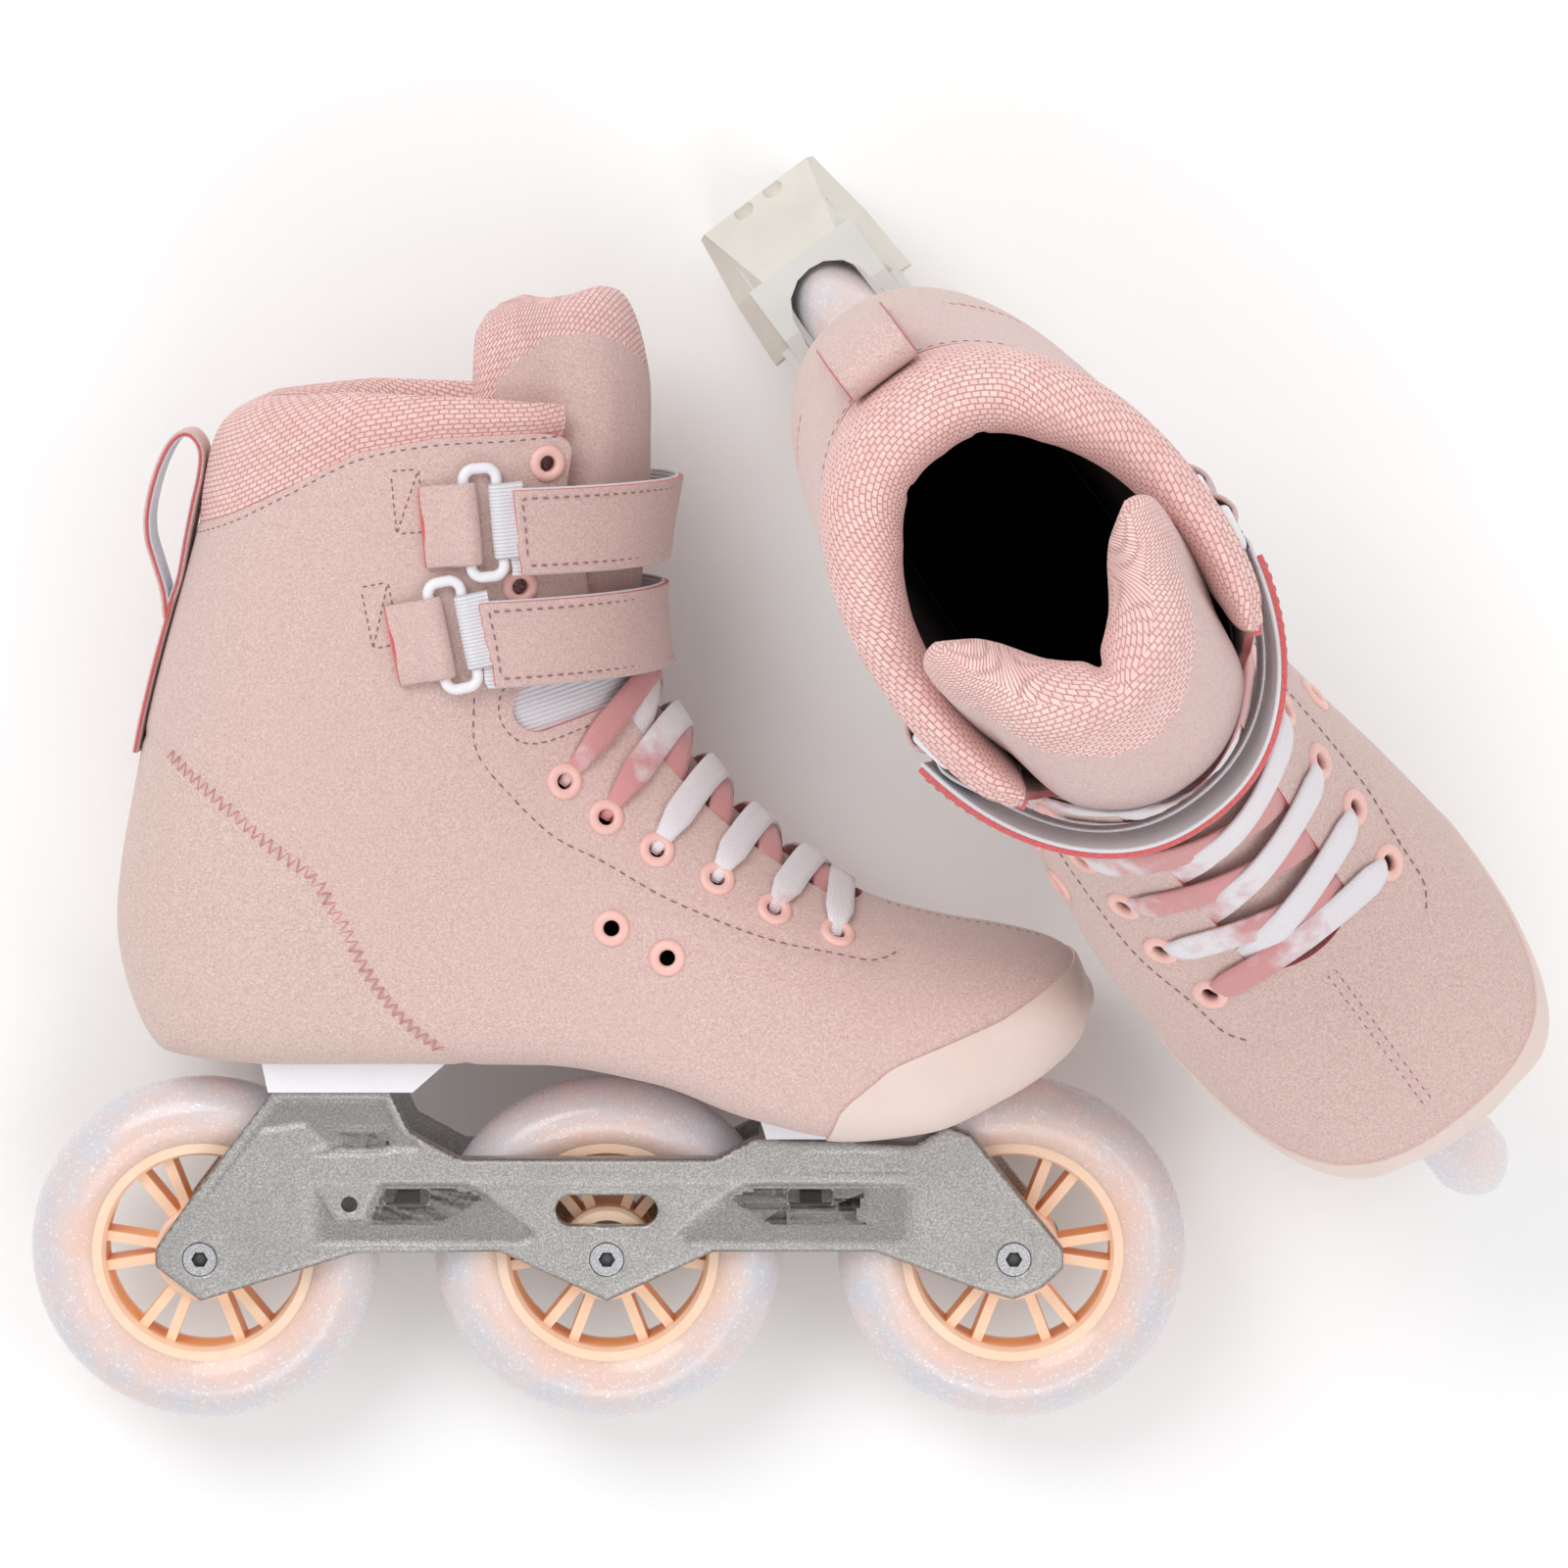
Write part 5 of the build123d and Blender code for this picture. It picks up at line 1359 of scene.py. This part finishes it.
def lace_strip(start, end, over, run_start, hide_end=True):
    """A flat lace from one eyelet over the tongue to the next eyelet on the other side."""
    t = np.linspace(0, 1, 64)
    s = start[0] + (end[0] - start[0]) * t
    a = start[1] + (end[1] - start[1]) * t
    if hide_end:
        lift = np.interp(t, [0.0, 0.04, 0.09, 0.2, 0.5, 0.70, 0.77, 0.84, 1.0],
                         [-2.6, 0.8, 1.9, 1.5, 1.5, 1.0, -1.0, -3.4, -3.6])
    else:
        lift = np.interp(t, [0.0, 0.04, 0.09, 0.5, 0.91, 0.96, 1.0], [-2.6, 0.8, 1.9, 1.5, 1.9, 0.8, -2.6])
    lift = lift + over * np.exp(-((t - 0.5) / 0.16) ** 2)
    path = skin(s, a, -lift)
    ups = np.stack([on_skin(p)[1] for p in path])
    ahead = unit(np.gradient(path, axis=0))
    across = unit(np.cross(ups, ahead))
    ups = np.cross(ahead, across)
    width = np.interp(t, [0.0, 0.05, 0.13, 1.0], [3.0, 6.0, 9.4, 9.4])
    if not hide_end:
        width = np.minimum(width, width[::-1])
    thick = np.interp(t, [0, 0.12, 1], [2.4, 1.5, 1.5])
    path = even_smooth(path)
    return ribbon(path, across, ups, width, thick, shade=run_start + travelled(path) / 150.0)


def even_smooth(path):
    """Takes the kinks out of a path."""
    out = path.copy()
    for _ in range(3):
        out[1:-1] = 0.25 * out[:-2] + 0.5 * out[1:-1] + 0.25 * out[2:]
    return out


def make_laces():
    """Crossed laces from the toe to the ankle."""
    places = {side: [spot_place(x, z, side) for x, z in EYELETS] for side in (MEDIAL, LATERAL)}
    strips = []
    for i, dye in enumerate((0.02, 0.30, 0.55, 0.62, 0.50)):
        strips.append(lace_strip(places[LATERAL][i], places[MEDIAL][i + 1], 0.3, dye + 0.35))
        strips.append(lace_strip(places[MEDIAL][i], places[LATERAL][i + 1], 1.9, dye))
    strips.append(lace_strip(places[MEDIAL][5], places[LATERAL][5], 0.6, 0.75, hide_end=False))
    put("laces", merged(strips), ["lace"], replaces=["lace"])


ELASTIC_LOW, ELASTIC_WIDTH = 219, 26


def make_elastic():
    """White ribbed band over the tongue, seen through the notch."""
    angles = np.linspace(-1.25, 1.25, 90)
    rows = []
    for v in np.linspace(0, 1, 12):
        goal = lambda x, v=v: ELASTIC_LOW + ELASTIC_WIDTH * v + (x + 25) * 0.30
        off = np.full(90, 2.2)
        s = level(angles, goal, off)
        rows.append(skin(s, angles, off))
    rows = np.array(rows)
    run = np.stack([travelled(row) for row in rows])
    up = np.linspace(0, ELASTIC_WIDTH, 12)[:, None] + 0 * run
    shape = grid(rows, weave=np.stack([run, up], -1))
    bm_orient(shape)
    pieces = put("elastic_band", shape, ["elastic"])
    thicken(pieces, 1.0)


PULL_LOOP = [(-135.2, 258), (-131.6, 268), (-129.2, 280), (-126.9, 291), (-124.6, 301), (-124.4, 308.5),
             (-128.2, 313.2), (-133.4, 311), (-138.2, 302), (-141.4, 290), (-141.6, 281), (-139.2, 272),
             (-137.0, 264), (-136.2, 256)]


def make_pull_loop():
    """Loop at the back of the cuff and the strip below it."""
    path = catmull([(x, 0, z) for x, z in PULL_LOOP], 120)
    ahead = unit(np.gradient(path, axis=0))
    across = np.tile([0.0, 1.0, 0.0], (120, 1))
    up = np.cross(ahead, across)
    outer = ribbon(path, across, up, 21.0, 1.5, offset=-0.2)
    inner = ribbon(path, across, up, 19.6, 0.9, offset=1.0)
    low = np.linspace(262, 214, 60)
    tail = []
    for z in low:
        hit, _, _, _ = SKIN_TREE.ray_cast(Vector((-260, 0, z)), Vector((1, 0, 0)))
        tail.append((hit.x - 1.1, 0, z))
    tail = np.array(tail)
    ahead = unit(np.gradient(tail, axis=0))
    across = np.tile([0.0, 1.0, 0.0], (60, 1))
    strip = ribbon(tail, across, np.cross(ahead, across), 21.0, 2.2)
    edge_tail = ribbon(tail, across, np.cross(ahead, across), 22.2, 1.2)
    edge_loop = ribbon(path, np.tile([0.0, 1.0, 0.0], (120, 1)), up, 21.9, 1.0, offset=0.35)
    put("loop_suede", merged([outer, strip]), ["panel"], replaces=["pull_loop"])
    put("loop_lining", inner, ["white_tape"])
    put("loop_edges", merged([edge_tail, edge_loop]), ["cut_edge"])


# ---------------------------------------------------------------- CAD parts that are shown
def dress(node, look, bevel=0.0, angle=40):
    """Gives a CAD part its material, and softer edges if asked."""
    part = NODES[node]
    part.data.materials.clear()
    part.data.materials.append(look)
    part.data.polygons.foreach_set("material_index", [0] * len(part.data.polygons))
    if bevel:
        soften(part, bevel, angle)


def dress_frame():
    """Wheels, bearings, axles, frame, sole plate and brake."""
    for side in ("left", "right"):
        for wheel in AXLES:
            dress(f"{side}_{wheel}_tyre", tyre_look(side, wheel))
            dress(f"{side}_{wheel}_hub", hub_look(side, wheel), 0.25)
            dress(f"{side}_{wheel}_bearings", LOOKS["seal_and_socket_shade"])
        dress(f"{side}_axles", LOOKS["steel"], 0.2)
        dress(f"{side}_bearing_cores", LOOKS["steel"])
        dress(f"{side}_frame", LOOKS["cast"], 0.3, 30)
        dress(f"{side}_frame_bolts", LOOKS["steel"], 0.2)
        dress(f"{side}_sole_plate", LOOKS["white_plastic"], 0.5)
    dress("right_brake_holder", LOOKS["brake_holder"], 0.5)
    dress("right_brake_pad", LOOKS["brake_pad"], 0.8)
    dress("right_brake_screws", LOOKS["steel"], 0.2)


# ---------------------------------------------------------------- stage
# Name, place and diameter in metres, and power in watts.
LAMPS = [("key", (-0.8, 1.0, 1.7), 1.3, 15.5), ("fill", (1.2, -0.2, 1.5), 1.2, 5.5),
         ("low", (0.1, -1.3, 1.2), 1.0, 4.5)]


def make_stage():
    """White floor, lamps and an even white background."""
    mesh = bpy.data.meshes.new("floor")
    bm = bmesh.new()
    bmesh.ops.create_grid(bm, x_segments=8, y_segments=8, size=4.0)
    bm.to_mesh(mesh)
    bm.free()
    floor = bpy.data.objects.new("floor", mesh)
    bpy.context.scene.collection.objects.link(floor)
    floor.location = (0, 0, -0.0005)
    look = Look("floor", Roughness=0.9, Specular_IOR_Level=0.1)
    look.link("Base Color", look.mix(look.noise(3, 2), rgb(250, 250, 250), rgb(252, 252, 252)))
    mesh.materials.append(look.mat)
    world = bpy.data.worlds.new("studio")
    bpy.context.scene.world = world
    world.use_nodes = True
    world.node_tree.nodes["Background"].inputs["Color"].default_value = (1, 1, 1, 1)
    world.node_tree.nodes["Background"].inputs["Strength"].default_value = 0.7
    bpy.context.scene.view_settings.view_transform = "Standard"
    for name, place, size, power in LAMPS:
        data = bpy.data.lights.new(name, "AREA")
        data.shape = "DISK"
        data.size = size
        data.energy = power
        lamp = bpy.data.objects.new(name, data)
        bpy.context.scene.collection.objects.link(lamp)
        lamp.location = place
        lamp.rotation_euler = (Vector((0, 0, 0.1)) - Vector(place)).to_track_quat("-Z", "Y").to_euler()
    camera = bpy.data.cameras.new("camera")
    camera.lens = 120
    camera.sensor_width = 36
    camera.clip_start = 0.05
    eye = bpy.data.objects.new("camera", camera)
    bpy.context.scene.collection.objects.link(eye)
    eye.location = (MIDDLE[0] * MM, MIDDLE[1] * MM, 1.70)
    bpy.context.scene.camera = eye


make_upper()
make_lining()
make_collar()
make_tongue()
make_toe_cap()
make_seams()
make_tabs()
make_straps()
make_rings()
make_eyelets()
make_relief()
make_socket_shade()
make_laces()
make_elastic()
make_pull_loop()
dress_frame()
make_stage()
